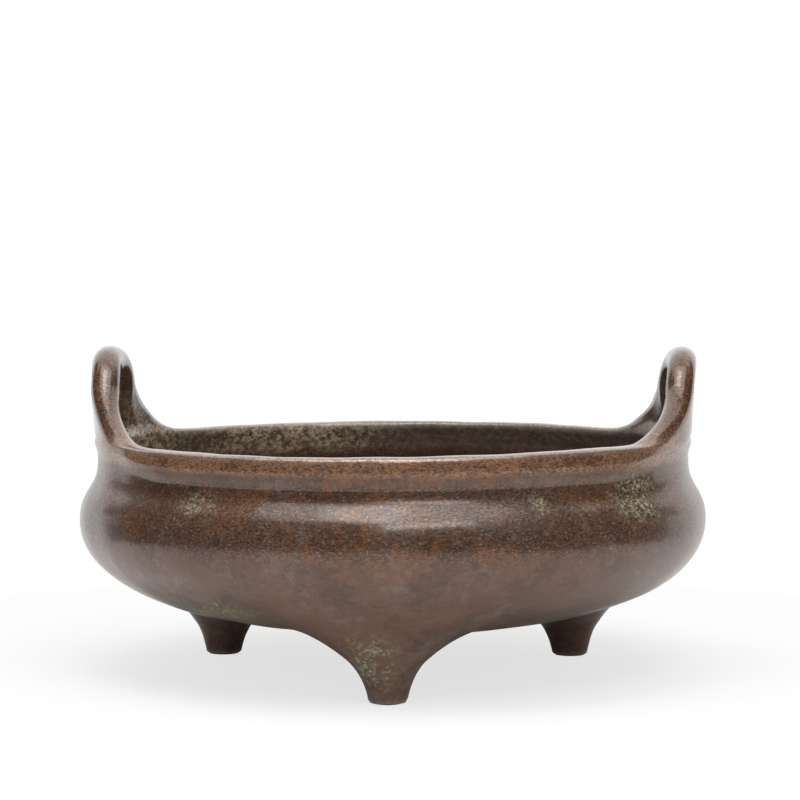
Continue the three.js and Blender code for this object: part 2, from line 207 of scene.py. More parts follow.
# %% Sizes of a foot
FOOT_INSET = 29.9  # of each foot's axis from the belly's side
FOOT_CIRCLE = BELLY_RADIUS - FOOT_INSET
FOOT_ANGLES = {"foot_front": -90, "foot_rear_right": 30, "foot_rear_left": 150}
SOLE_RADIUS = 3.9
SOLE_ROUND = 1.5
SEAT_HEIGHT = 11.0  # ground to the plane where a foot meets the bowl
SEAT_RADIUS = 10.2
SEAT_RADIUS_OUT = 9.0  # on the side that faces away from the bowl's axis
SHANK_SPREAD = 0.9  # the shank widens this much over the lower share of the foot
SHANK_SHARE = 0.5
CALF_SPREAD = 2.4  # and this much over the rest, from the upper share to the seat
CALF_SHARE = 0.76
FLARE_SLOPE = 0.95  # rise of the flank above the seat
FLARE_SLOPE_OUT = 2.3  # the same on the side that faces away
FLARE_WIDTH = 15.6

DIMPLE_FLOOR = SEAT_HEIGHT + 5.6
DIMPLE_RADIUS = 8.5
DIMPLE_ROUND = 1.5
DIMPLE_SPREAD = 0.5  # how much its radius grows with each millimetre of height
print("a foot spreads from", SOLE_RADIUS + SOLE_ROUND, "mm at the sole to", SEAT_RADIUS, "mm at its seat")

# %% A foot's flank and the hollow above it, as (distance from the foot's axis, height)
def flank_section(seat, slope):
    edge = SOLE_RADIUS + SOLE_ROUND
    sole = bezier((SOLE_RADIUS, 0), (edge, 0), (edge, SOLE_ROUND), steps=5)
    shank = (edge + SHANK_SPREAD, SHANK_SHARE * SEAT_HEIGHT)
    calf = (seat - CALF_SPREAD, CALF_SHARE * SEAT_HEIGHT)
    taper = bezier((edge, SOLE_ROUND), shank, calf, (seat, SEAT_HEIGHT), steps=16)
    reach_top = SEAT_HEIGHT + FLARE_WIDTH * slope
    flare = np.linspace((seat, SEAT_HEIGHT), (seat + FLARE_WIDTH, reach_top), 18)
    return chain(np.array([(0, 0)]), sole, taper, flare, np.array([(0, reach_top)]))


def dimple_section():
    side = DIMPLE_FLOOR + DIMPLE_ROUND
    mouth_radius = DIMPLE_RADIUS + (BELLY_HEIGHT - side) * DIMPLE_SPREAD
    floor = [(0, DIMPLE_FLOOR), (DIMPLE_RADIUS - DIMPLE_ROUND, DIMPLE_FLOOR)]
    return np.array([*floor, (DIMPLE_RADIUS, side), (mouth_radius, BELLY_HEIGHT), (0, BELLY_HEIGHT)])


dimple = dimple_section()
flank = flank_section(SEAT_RADIUS, FLARE_SLOPE)
flank_out = flank_section(SEAT_RADIUS_OUT, FLARE_SLOPE_OUT)
print("points in a foot's outlines:", len(flank) + len(flank_out) + len(dimple))

# %% [markdown]
# ### The ears
#
# Each ear is an arch whose two roots sweep out along the lip. It was rolled and cut in wax, bent to the rim
# and pressed on. Its outer and inner edges are drawn here as if the rim were unrolled, which keeps them two
# simple curves, and they are bent round the bowl afterwards.

# %% Sizes of an ear
EAR_HEIGHT = 26.1  # of the crown's top above the lip
EAR_TOP = LIP_TOP + EAR_HEIGHT
EAR_THICKNESS = 7.0  # of the crown, from its top to the opening
EAR_DEPTH = 8.0  # of the crown, from its outer to its inner side
EAR_OVERHANG = 1.3  # how far the crown stands outside the lip
EAR_MIDDLE = LIP_OUTER_RADIUS + EAR_OVERHANG - EAR_DEPTH / 2
EAR_HALF_WIDTH = 20.0  # along the rim, where the legs turn into the crown
EAR_SHOULDER = LIP_TOP + 15.9  # height of that place
CROWN_ROUND = 4.6  # how far above that place the crown still climbs steeply
CROWN_LEAN = 2.8  # and how far it leans in over that height
CROWN_FLAT_SHARE = 0.65  # share of the half width over which the crown's top is nearly level
OPENING_HALF_WIDTH = 13.0
OPENING_TOP = EAR_TOP - EAR_THICKNESS
OPENING_SHOULDER = LIP_TOP + 12.4  # where the opening's sides turn into its arch
OPENING_LEAN = 0.4  # how far its sides lean in above that place
OPENING_ROUND_SHARE = 0.62  # share of the arch's height over which they do
OPENING_FLAT_SHARE = 0.6
ROOT_REACH = 52.0  # from the middle of the ear to where a root rises from the lip
ROOT_SWEEP = 13.5  # how far beyond the leg a root follows the lip before it turns up
ROOT_SPREAD = 4  # how much wider the legs stand just below their turn into the crown
ROOT_DROP = 4.5  # how far below that turn
JAMB_SWEEP = 5  # how far the opening's side runs out along the foot of its leg
JAMB_SPREAD = 0.6
ROOT_INSET = 0.25  # how far the end of a root stays inside the lip's faces
EAR_SPREADS = {-1: 0.0, 1: 3.0}  # the right ear's roots run out further along the lip
print("an ear's crown stands", EAR_HEIGHT, "mm above the lip")

# %% An ear laid out flat, as (distance along the rim, height)
def ear_outer_edge(spread):
    """From the end of a root on the lip to the top of the crown, with the root drawn out by a spread."""
    low = LIP_TOP - ROOT_INSET
    wide = EAR_HALF_WIDTH
    sweep = (wide + ROOT_SWEEP + spread, low)
    leg = (wide + ROOT_SPREAD, EAR_SHOULDER - ROOT_DROP)
    rise = bezier((ROOT_REACH + 2 * spread, low), sweep, leg, (wide, EAR_SHOULDER))
    turn = (wide - CROWN_LEAN, EAR_SHOULDER + CROWN_ROUND)
    over = bezier((wide, EAR_SHOULDER), turn, (CROWN_FLAT_SHARE * wide, EAR_TOP), (0, EAR_TOP))
    return chain(rise, over)


def ear_inner_edge(spread):
    """From the end of a root, along the metal below the lip, to the top of the opening."""
    low = LIP_TOP - LIP_DEPTH + ROOT_INSET
    wide = OPENING_HALF_WIDTH
    foot = (wide + JAMB_SPREAD, low)
    jamb = bezier((ROOT_REACH + 2 * spread, low), (wide + JAMB_SWEEP, low), foot, (wide, OPENING_SHOULDER))
    rise = OPENING_ROUND_SHARE * (OPENING_TOP - OPENING_SHOULDER)
    bend = (wide - OPENING_LEAN, OPENING_SHOULDER + rise)
    top = (OPENING_FLAT_SHARE * wide, OPENING_TOP)
    arch = bezier((wide, OPENING_SHOULDER), bend, top, (0, OPENING_TOP))
    return chain(jamb, arch)


def both_halves(half):
    return chain(half, mirrored(half))


ear_outer = {side: both_halves(ear_outer_edge(spread)) for side, spread in EAR_SPREADS.items()}
ear_inner = {side: both_halves(ear_inner_edge(spread)) for side, spread in EAR_SPREADS.items()}
print("points round an ear:", len(ear_outer[1]) + len(ear_inner[1]))

# %% [markdown]
# ## One smooth surface
#
# On the real burner the feet swell out of the belly and the ears grow out of the lip without a line between
# them, because the wax was pressed together and smoothed before it was cast. Modelled as pieces that only
# touch, such joins show as creases. Here each outline becomes a map of signed distances, negative inside
# the metal, and a soft minimum of the maps gives one surface with a fillet at each join. The mesh is laid
# roughly first and then drawn onto that surface.

# %% Signed distances from an outline
MAP_STEP = 0.3  # millimetres between the points of a map


def outline_distance(x, y, outline):
    """Distance from each point to a closed outline, negative inside it."""
    nearest = np.full(x.shape, np.inf)
    inside = np.zeros(x.shape, bool)
    for (ax, ay), (bx, by) in zip(outline, np.roll(outline, -1, axis=0)):
        ex, ey = bx - ax, by - ay
        along = np.clip(((x - ax) * ex + (y - ay) * ey) / (ex * ex + ey * ey), 0, 1)
        nearest = np.minimum(nearest, (x - ax - along * ex) ** 2 + (y - ay - along * ey) ** 2)
        if ay != by:
            inside ^= ((ay > y) != (by > y)) & (x < ax + (y - ay) * ex / ey)
    return np.where(inside, -1, 1) * np.sqrt(nearest)


def distance_map(outline, low, high):
    """The outline's distances on a grid from the low corner to the high one."""
    across = np.arange(low[0], high[0] + MAP_STEP, MAP_STEP)
    up = np.arange(low[1], high[1] + MAP_STEP, MAP_STEP)
    grid = np.meshgrid(across, up, indexing="ij")
    return {"low": low, "values": outline_distance(*grid, outline)}


def read_map(distances, x, y):
    """The distances at any points, read between the points of the map."""
    values = distances["values"]
    u = np.clip((x - distances["low"][0]) / MAP_STEP, 0, values.shape[0] - 1.001)
    v = np.clip((y - distances["low"][1]) / MAP_STEP, 0, values.shape[1] - 1.001)
    i, j = u.astype(int), v.astype(int)
    u, v = u - i, v - j
    near = values[i, j] * (1 - v) + values[i, j + 1] * v
    far = values[i + 1, j] * (1 - v) + values[i + 1, j + 1] * v
    return near * (1 - u) + far * u


def whole(section):
    """A turned section with its mirror image, so that the axis isn't an edge."""
    return chain(section, mirrored(section))[:-1]


square = np.array([(-5.0, -5.0), (5.0, -5.0), (5.0, 5.0), (-5.0, 5.0)])
print("in the middle of a 10 mm square:", outline_distance(np.zeros(1), np.zeros(1), square), "mm")

# %% Maps of the bowl, the feet and the ears
BOWL_CORNERS = (-4, 4), (104, 80)
FOOT_CORNERS = (-4, -6), (40, 60)
EAR_CORNERS = (-4, 50), (74, 100)


def ear_outline(side):
    return chain(ear_outer[side], ear_inner[side][::-1])


outside_map = distance_map(whole(outside), *BOWL_CORNERS)
hollow_map = distance_map(whole(hollow), *BOWL_CORNERS)
flank_map = distance_map(whole(flank), *FOOT_CORNERS)
flank_out_map = distance_map(whole(flank_out), *FOOT_CORNERS)
dimple_map = distance_map(whole(dimple), *FOOT_CORNERS)
ear_maps = {side: distance_map(ear_outline(side), *EAR_CORNERS) for side in EAR_SPREADS}
print("points in the bowl's maps:", outside_map["values"].size + hollow_map["values"].size)

# %% [markdown]
# ### What the hand left
#
# A burner smoothed by hand is never quite round or level. Here the rim rises and falls by up to a
# millimetre, the waist of the neck dips in front and behind, and the lip thins towards the ears, which draw
# it up. The two ears differ a little, and the front foot stands slightly to the right. A sculpted mesh
# could carry all that, but each is also a short rule on the distances, faded in along the rim and with
# height, and a rule can be read and changed.

# %% How far the castings depart from their outlines
FLARE_BLEND = 9.4  # width over which a foot melts into the belly
DIMPLE_BLEND = 2.0  # the same for the hollow above a foot and the floor
ROOT_BLEND = 2.6  # the same for an ear on the lip
FLUSH_BLEND = 1.0  # the same where the ear's face is flush with the lip's
END_BLEND = 0.2  # the same at the ends of the roots, so that no step shows there
ROOT_HALF_DEPTH = 3.1
EAR_ROUNDNESS = 0.97  # 1 gives half-round edges
EAR_LEANS = {-1: 1.0, 1: 0.0}  # how far the crown leans in over the bowl
EAR_FLATNESS = {-1: 0.25, 1: 0.6}  # 0 bends an ear's lower part round the rim, 1 leaves it flat
ROOT_TWIST = 0.9  # how much further a root runs on its inner side, per millimetre of depth
EAR_PULL = 1.0  # how far an ear draws the lip up beside it
LIP_THINNING = 1.8  # how far the lip's lower edge rises towards an ear
NECK_FILL = 0.5  # how much fuller the neck is below an ear
NECK_DROP = 2.0  # how much lower the waist lies in front and behind than below the ears
FRONT_FOOT_SHIFT = 0.7  # how far the front foot's sole stands to the right
DENT_DEPTH = 0.05
RIM_WAVES = (  # waves round the rim, height, place of a crest in degrees
    (1, 0.48, -59.6),
    (2, 0.20, -74.3),
    (3, 0.36, -121.9),
)
DENT_WAVES = (  # radians per millimetre along x, y and z, and a start
    (0.13, 0.05, 0.16, 0.3),
    (-0.07, 0.19, 0.11, 1.9),
    (0.24, 0.17, -0.09, 4.0),
    (0.31, -0.26, 0.20, 5.1),
)

# Each fades between two distances along the rim, measured from the middle of the nearer ear.
FLAT_FADE = (18, 40)
PULL_FADE = (24, 60)
DROP_FADE = (30, 66)
THIN_FADE = (34, 58)
FILL_FADE = (16, 44)
END_FADE = (34, 51)
print("waves round the rim:", len(RIM_WAVES), "and through the walls:", len(DENT_WAVES))

# %% Steps, soft minimum and the nearest foot
def soft_minimum(a, b, width):
    """The smaller of two distances, rounded where they are nearly equal."""
    near = np.clip(1 - np.abs(a - b) / width, 0, None)
    return np.minimum(a, b) - width / 4 * near**2


def smooth_step(x, low, high):
    """Rises smoothly from 0 to 1 as x goes from low to high."""
    share = np.clip((x - low) / (high - low), 0, 1)
    return share * share * (3 - 2 * share)


def near_foot(x, y):
    """Distance from the nearest foot's axis, and how far a point lies on its outward side, from 0 to 1."""
    best = np.full(x.shape, np.inf)
    facing = np.zeros(x.shape)
    for degrees in FOOT_ANGLES.values():
        out_x, out_y = math.cos(math.radians(degrees)), math.sin(math.radians(degrees))
        dx, dy = x - FOOT_CIRCLE * out_x, y - FOOT_CIRCLE * out_y
        away = np.hypot(dx, dy)
        outward = np.clip((dx * out_x + dy * out_y) / np.maximum(away, 1e-6), 0, 1) ** 2
        facing = np.where(away < best, outward, facing)
        best = np.minimum(best, away)
    return best, facing


def distance_from_ear(x, y):
    """Distance along the rim from the middle of the nearer ear."""
    return np.arctan2(np.abs(y), np.abs(x)) * LIP_MIDDLE


beside_root = soft_minimum(1.0, 1.0, ROOT_BLEND)
print("1 mm from the lip and from a root, the fillet is only", round(beside_root, 2), "mm away")

# %% The ears as distances
def flat_push(flatness, along, rise):
    """How far an ear's lower part stands out from the ring of the rim, because it is nearly flat."""
    turn = np.minimum(along, FLAT_FADE[0]) / LIP_MIDDLE
    flat = LIP_MIDDLE * (1 / np.cos(turn) - 1)
    return flatness * flat * (1 - smooth_step(along, *FLAT_FADE)) * (1 - rise)


def ear_distance(x, y, z):
    """Distance to the nearer ear: the flat outline bent round the rim, with rounded edges."""
    radius = np.hypot(x, y)
    along = distance_from_ear(x, y)
    rise = smooth_step(z, LIP_TOP, EAR_SHOULDER)
    half = ROOT_HALF_DEPTH + (EAR_DEPTH / 2 - ROOT_HALF_DEPTH) * rise
    edge = EAR_ROUNDNESS * np.minimum(half, EAR_THICKNESS / 2)
    lean = np.where(x < 0, EAR_LEANS[-1], EAR_LEANS[1]) * smooth_step(z, EAR_SHOULDER - 8, EAR_TOP)
    push = flat_push(np.where(x < 0, EAR_FLATNESS[-1], EAR_FLATNESS[1]), along, rise)
    middle = LIP_MIDDLE + (EAR_MIDDLE - LIP_MIDDLE) * rise - lean + push
    oval = np.minimum(EAR_THICKNESS / 2 / half, 1)
    twist = ROOT_TWIST * (1 - rise) * smooth_step(along, OPENING_HALF_WIDTH, EAR_HALF_WIDTH)
    along = along + twist * np.clip(radius - middle, -half, half)
    flat = np.where(x < 0, read_map(ear_maps[-1], along, z), read_map(ear_maps[1], along, z))
    flat = flat / np.sqrt(1 + 0.5 * twist**2) + edge
    deep = (np.abs(radius - middle) - half) * oval + edge
    outer = np.hypot(np.maximum(flat, 0), np.maximum(deep, 0))
    return outer + np.minimum(np.maximum(flat, deep), 0) - edge


crown = ear_distance(np.array([EAR_MIDDLE]), np.zeros(1), np.array([EAR_TOP]))
print("at the top of the right ear:", crown.round(2), "mm")

# %% The unevenness of rim, neck, lip and walls
def rim_height(x, y):
    """How far the rim stands above or below its mean height."""
    turn = np.arctan2(y, x)
    waves = sum(height * np.cos(count * turn - math.radians(crest)) for count, height, crest in RIM_WAVES)
    return waves + EAR_PULL * (1 - smooth_step(distance_from_ear(x, y), *PULL_FADE))


def waist_drop(x, y, z):
    """How far the neck is drawn down at its waist, which fades out at the shoulder and at the lip."""
    above_shoulder = smooth_step(z, NECK_HEIGHT - 11, NECK_HEIGHT - 2.4)
    below_lip = 1 - smooth_step(z, NECK_HEIGHT - 1.5, LIP_TOP - 3.4)
    return NECK_DROP * above_shoulder * below_lip * smooth_step(distance_from_ear(x, y), *DROP_FADE)


def lip_thinned(x, y, z):
    """How far the lip's lower edge is drawn up near an ear. It fades out at the neck and the lip's top."""
    above_neck = smooth_step(z, NECK_HEIGHT - 2, LIP_TOP - LIP_DEPTH + 0.5)
    below_top = 1 - smooth_step(z, LIP_TOP - 3, LIP_TOP)
    return LIP_THINNING * above_neck * below_top * (1 - smooth_step(distance_from_ear(x, y), *THIN_FADE))


def neck_fill(x, y, z):
    """How much the neck stands out below an ear."""
    above_shoulder = smooth_step(z, NECK_HEIGHT - 8, NECK_HEIGHT - 1)
    below_lip = 1 - smooth_step(z, NECK_HEIGHT + 2, LIP_TOP - 1.5)
    return NECK_FILL * above_shoulder * below_lip * (1 - smooth_step(distance_from_ear(x, y), *FILL_FADE))


def dents(x, y, z):
    """Slow unevenness of the walls, never above 0, so that the burner keeps inside its outline."""
    waves = sum(np.sin(a * x + b * y + c * z + start) for a, b, c, start in DENT_WAVES)
    return DENT_DEPTH * (waves - len(DENT_WAVES))


rim = rim_height(np.array([0.0, LIP_MIDDLE]), np.array([-LIP_MIDDLE, 0.0]))
print("the rim in front and at the right ear:", rim.round(2), "mm from its mean height")

# %% The burner as one field of distances
def burner_distance(points):
    """Distance from each point to the burner's surface, negative in the metal."""
    x, y, z = points.T
    near_lip = smooth_step(z, NECK_HEIGHT - 6, LIP_TOP - 2)
    below_crown = 1 - smooth_step(z, LIP_TOP + 3, EAR_SHOULDER)
    z = z - rim_height(x, y) * near_lip * below_crown
    radius = np.hypot(x, y)
    front_shift = FRONT_FOOT_SHIFT * (1 - smooth_step(z, 2, 22)) * smooth_step(-y, 20, 35)
    away, facing = near_foot(x - front_shift, y)
    foot = read_map(flank_map, away, z) * (1 - facing) + read_map(flank_out_map, away, z) * facing
    drawn = z + waist_drop(x, y, z) - lip_thinned(x, y, z)
    body = soft_minimum(read_map(outside_map, radius - neck_fill(x, y, z), drawn), foot, FLARE_BLEND)
    space = soft_minimum(read_map(hollow_map, radius, z), read_map(dimple_map, away, z), DIMPLE_BLEND)
    bowl = np.maximum(body, -space)
    flush = smooth_step(np.abs(radius - LIP_MIDDLE), 2.0, 3.1)
    blend = ROOT_BLEND + (FLUSH_BLEND - ROOT_BLEND) * flush
    blend = blend + (END_BLEND - blend) * smooth_step(distance_from_ear(x, y), *END_FADE)
    burner = soft_minimum(bowl, ear_distance(x, y, z), blend)
    above_feet = smooth_step(z, 6, 20)
    below_arch = 1 - smooth_step(z, EAR_SHOULDER - 8, EAR_SHOULDER)
    return burner - dents(x, y, z) * above_feet * below_arch


probe = np.array([(0.0, 0.0, 12.0), (LIP_MIDDLE, 0.0, 74.0), (LIP_MIDDLE, 0.0, 89.0), (0.0, 0.0, 40.0)])
print("below the bowl, in the ear's opening, in its crown, inside:", burner_distance(probe).round(2))

# %% [markdown]
# ## Rough bodies
#
# Three kinds of rough body give the mesh its points: the bowl is turned, a foot is turned about its own
# axis, and an ear is a tube that follows its outline. Turning keeps rows of faces along the lip, where a
# voxel remesh would leave steps in the highlight. Booleans join them, which a caster does with a hot knife.

# %% Turned bodies and tubes
TURN_STEPS = 320
FOOT_STEPS = 72
EAR_SIDES = 20
EAR_RINGS = 121


def new_object(name, points, faces):
    mesh = bpy.data.meshes.new(name)
    mesh.from_pydata([tuple(p) for p in points], [], [tuple(f) for f in faces])
    mesh.validate()
    made = bpy.data.objects.new(name, mesh)
    scene.collection.objects.link(made)
    return made


def grid_faces(rings, steps):
    """Four-sided faces between closed rings, and a fan to the two points that follow them."""
    faces = []
    for i in range(rings - 1):
        for j in range(steps):
            k = (j + 1) % steps
            faces.append((i * steps + j, i * steps + k, (i + 1) * steps + k, (i + 1) * steps + j))
    first, last = rings * steps, rings * steps + 1
    for j in range(steps):
        k = (j + 1) % steps
        faces.append((first, k, j))
        faces.append((last, (rings - 1) * steps + j, (rings - 1) * steps + k))
    return faces


def turned(name, section, steps, centre=(0.0, 0.0), widths=1.0):
    """A closed body from a section that starts and ends on the axis, with its radii times the widths."""
    turns = np.linspace(0, 2 * math.pi, steps, endpoint=False)
    rings = section[1:-1]
    x = centre[0] + widths * rings[:, :1] * np.cos(turns)
    y = centre[1] + widths * rings[:, :1] * np.sin(turns)
    z = np.repeat(rings[:, 1:], steps, axis=1)
    points = np.stack([x, y, z], axis=2).reshape(-1, 3)
    ends = [(*centre, section[0, 1]), (*centre, section[-1, 1])]
    return new_object(name, np.vstack([points, ends]), grid_faces(len(rings), steps))


def tube(name, rings):
    """A closed body through rings of points, each with as many points as the others."""
    ends = [rings[0].mean(axis=0), rings[-1].mean(axis=0)]
    return new_object(name, np.vstack([*rings, ends]), grid_faces(len(rings), len(rings[0])))


def spaced(curve, step=1.0, count=None):
    """The curve's points again, evenly spaced, with both ends kept."""
    lengths = np.concatenate([[0], np.cumsum(np.linalg.norm(np.diff(curve, axis=0), axis=1))])
    wanted = np.linspace(0, lengths[-1], count or max(2, round(lengths[-1] / step) + 1))
    return np.stack([np.interp(wanted, lengths, curve[:, i]) for i in (0, 1)], axis=1)


print("points round the bowl:", TURN_STEPS, "round a foot:", FOOT_STEPS, "round an ear:", EAR_SIDES)

# %% The rough bowl, feet and ears
BELLY_SPACING = 1.6  # millimetres between the rows of points on the belly
LIP_SPACING = 0.5  # the same on neck and lip
FOOT_SPACING = 1.1


def foot_centre(degrees):
    turn = math.radians(degrees)
    return FOOT_CIRCLE * math.cos(turn), FOOT_CIRCLE * math.sin(turn)


def rough_foot(name, degrees):
    """A foot that flares less on its outward side, where the belly turns up above it."""
    section = spaced(flank, FOOT_SPACING)
    height = section[1:-1, 1]
    outward_width = np.interp(height, flank_out[2:-1, 1], flank_out[2:-1, 0])
    steep = outward_width / np.interp(height, flank[2:-1, 1], flank[2:-1, 0])
    steep = np.where(height > SOLE_ROUND, steep, 1.0)[:, None]
    turns = np.linspace(0, 2 * math.pi, FOOT_STEPS, endpoint=False)
    outward = np.clip(np.cos(turns - math.radians(degrees)), 0, 1) ** 2
    return turned(name, section, FOOT_STEPS, foot_centre(degrees), 1 + (steep - 1) * outward)


def rows_of(section):
    """A turned section with its rows of points closer together on neck and lip than on the belly."""
    neck = next(i for i, point in enumerate(section) if point[1] > NECK_HEIGHT - 5)
    belly = spaced(section[: neck + 1], BELLY_SPACING)
    return np.vstack([belly[:-1], spaced(section[neck:], LIP_SPACING)])


def rough_ear(name, side):
    """A tube of rounded rings between the ear's outer and inner edges, from one root to the other."""
    rings = []
    outer_points = spaced(ear_outer[side], count=EAR_RINGS)
    inner_points = spaced(ear_inner[side], count=EAR_RINGS)
    for high, low in zip(outer_points, inner_points):
        turns = np.linspace(0, 2 * math.pi, EAR_SIDES, endpoint=False) + 0.1
        rise = float(smooth_step(np.array(high[1]), LIP_TOP, EAR_SHOULDER))
        half = ROOT_HALF_DEPTH + (EAR_DEPTH / 2 - ROOT_HALF_DEPTH) * rise
        flat = low + (high - low) * (0.5 + np.sin(turns)[:, None] / 2)
        lean = EAR_LEANS[side] * float(smooth_step(np.array(high[1]), EAR_SHOULDER - 8, EAR_TOP))
        push = flat_push(EAR_FLATNESS[side], np.abs(flat[:, 0]), rise)
        deep = half * np.cos(turns)
        radius = LIP_MIDDLE + (EAR_MIDDLE - LIP_MIDDLE) * rise - lean + push + deep
        beyond_jamb = smooth_step(np.abs(flat[:, 0]), OPENING_HALF_WIDTH, EAR_HALF_WIDTH)
        twist = ROOT_TWIST * (1 - rise) * beyond_jamb
        angle = (flat[:, 0] - np.sign(flat[:, 0]) * twist * deep) / LIP_MIDDLE
        rings.append(np.stack([side * radius * np.cos(angle), radius * np.sin(angle), flat[:, 1]], axis=1))
    return tube(name, rings if side > 0 else rings[::-1])


rough_bowl = turned("rough_bowl", rows_of(outside), TURN_STEPS)
rough_hollow = turned("rough_hollow", rows_of(hollow), TURN_STEPS)
rough_feet = []
rough_dimples = []
for name, degrees in FOOT_ANGLES.items():
    rough_feet.append(rough_foot("rough_" + name, degrees))
    rough_dimples.append(turned("dimple", spaced(dimple, FOOT_SPACING), FOOT_STEPS, foot_centre(degrees)))
rough_ears = [rough_ear("rough_ear", side) for side in EAR_SPREADS]
print("faces of the rough bowl:", len(rough_bowl.data.polygons))

# %% Join the rough bodies
MERGE_DISTANCE = 0.02  # millimetres, after each boolean


def merge_points(mesh, distance):
    """Merges points that nearly coincide, which a later boolean can't tell apart."""
    shape = bmesh.new()
    shape.from_mesh(mesh)
    bmesh.ops.remove_doubles(shape, verts=shape.verts, dist=distance)
    shape.to_mesh(mesh)
    shape.free()


def joined(body, others, operation):
    """The body after a boolean with each of the others, which are then removed."""
    for other in others:
        cut = body.modifiers.new("join", "BOOLEAN")
        cut.operation = operation
        cut.solver = "EXACT"
        cut.object = other
        depsgraph = bpy.context.evaluated_depsgraph_get()
        result = bpy.data.meshes.new_from_object(body.evaluated_get(depsgraph))
        body.modifiers.clear()
        merge_points(result, MERGE_DISTANCE)
        body.data = result
        bpy.data.objects.remove(other)
    return body


joined(rough_bowl, rough_feet, "UNION")
joined(rough_bowl, [rough_hollow, *rough_dimples], "DIFFERENCE")
joined(rough_bowl, rough_ears, "UNION")
casting = rough_bowl
casting.name = "casting"
print("faces after joining:", len(casting.data.polygons))

# %% [markdown]
# ## Drawing the mesh onto the surface
#
# Each point now walks down the slope of the distance field until it lies on the surface, in the way that
# Newton's method finds a zero. Where a fillet was missing, the points leave the old crease and the fillet
# appears. A light smoothing between the walks keeps the faces even.

# %% Slopes and steps down them
SLOPE_STEP = 0.3  # millimetres either side of a point when its slope is measured


def slope(points):
    """The direction in which the distance grows fastest, which is the surface's normal."""
    out = np.zeros_like(points)
    for axis in range(3):
        offset = np.zeros(3)
        offset[axis] = SLOPE_STEP
        out[:, axis] = burner_distance(points + offset) - burner_distance(points - offset)
    return out / np.maximum(np.linalg.norm(out, axis=1, keepdims=True), 1e-9)


def drawn_in(points, rounds):
    """The points after so many steps down the slope."""
    for _ in range(rounds):
        points = points - slope(points) * burner_distance(points)[:, None]
    return points


def evened(points, edges, share):
    """Each point moved part of the way to the middle of its neighbours."""
    total = np.zeros_like(points)
    count = np.zeros(len(points))
    for a, b in ((0, 1), (1, 0)):
        np.add.at(total, edges[:, a], points[edges[:, b]])
        np.add.at(count, edges[:, a], 1)
    return points + (total / np.maximum(count, 1)[:, None] - points) * share


steepest = slope(np.array([(BELLY_RADIUS, 0.0, BELLY_HEIGHT)]))[0]
print("at the belly's widest ring the surface faces", steepest.round(2))

# %% Walk each point to the surface
SMALLEST_FACE = 0.12  # millimetres between points that are merged first

shape = bmesh.new()
shape.from_mesh(casting.data)
bmesh.ops.remove_doubles(shape, verts=shape.verts, dist=SMALLEST_FACE)
bmesh.ops.triangulate(shape, faces=[f for f in shape.faces if len(f.verts) > 4])
bmesh.ops.recalc_face_normals(shape, faces=shape.faces)
shape.to_mesh(casting.data)
shape.free()
points = np.array([v.co for v in casting.data.vertices], float)
edges = np.array([e.vertices for e in casting.data.edges], int)
walked = drawn_in(points, 3)
moved = smooth_step(np.linalg.norm(walked - points, axis=1), 0.05, 0.6)[:, None]
for _ in range(3):
    walked = drawn_in(evened(walked, edges, 0.5 * moved), 1)
points = drawn_in(walked, 3)
corners = points[np.array([f.vertices[:3] for f in casting.data.polygons], int)]
facing = np.cross(corners[:, 1] - corners[:, 0], corners[:, 2] - corners[:, 0])
askew = np.sum(facing * slope(corners.mean(axis=1)), axis=1) < 0
print("faces that lie the wrong way round:", int(askew.sum()))
off = np.abs(burner_distance(points))
print("furthest point from the surface:", round(float(off.max()), 3), "mm, points:", len(points))

# %% [markdown]
# ## Where hands rub and where dirt stays
#
# Polish comes up on edges and corrosion stays in hollows. A pointiness node could find both, but it depends
# on the mesh. The field knows better: its mean over a small ball is high beside an edge that stands proud
# and low in a hollow. A third value marks the inside, where ash lay, and fainter the ears' inner faces.
# All are kept on the mesh, and the shader reads them.

# %% Measure edges and hollows
EDGE_REACH = 1.6  # millimetres over which an edge is felt
HOLLOW_REACH = 5.0
EAR_CRUST = 0.6  # strength of the crust on the inner faces of the ears


def bend(points, reach):
    """How much the surface curves outward over a distance: about 1 on a sharp edge, below 0 in a hollow."""
    total = np.zeros(len(points))
    for axis in range(3):
        offset = np.zeros(3)
        offset[axis] = reach
        total += burner_distance(points + offset) + burner_distance(points - offset)
    return total / (6 * reach)


normals = slope(points)
radius = np.hypot(points[:, 0], points[:, 1])
edge_bend = bend(points, EDGE_REACH)
wide_bend = bend(points, HOLLOW_REACH)
above_lip = smooth_step(points[:, 2], LIP_TOP - 1, LIP_TOP + 4)
inward = -normals[:, 0] * points[:, 0] - normals[:, 1] * points[:, 1]
inside_share = smooth_step(inward + 40 * normals[:, 2], 5, 38)
inside_share *= smooth_step(LIP_INNER_RADIUS + 3 - radius, 0, 3) * (1 - above_lip)
ear_crust = EAR_CRUST * smooth_step(inward, 20, 70) * above_lip
inside_share = np.maximum(inside_share, ear_crust)
values = {
    "rubbed": smooth_step(0.7 * edge_bend + 0.5 * wide_bend, 0.12, 0.42),
    "hollow": smooth_step(-wide_bend, 0.0, 0.16),
    "inside": inside_share,
}
for name, value in values.items():
    print(name, "mean", round(float(value.mean()), 3), "highest", round(float(value.max()), 2))

# %% Put the points, their values and their smooth normals on the mesh
mesh = casting.data
mesh.vertices.foreach_set("co", (points * MILLIMETRE).ravel())
mesh.update()
for face in mesh.polygons:
    face.use_smooth = True
for name, value in values.items():
    layer = mesh.attributes.new(name, "FLOAT", "POINT")
    layer.data.foreach_set("value", value.astype(np.float32))
layer = mesh.attributes.new("smooth_normal", "FLOAT_VECTOR", "POINT")
layer.data.foreach_set("vector", normals.astype(np.float32).ravel())
print("faces in the casting:", len(mesh.polygons))

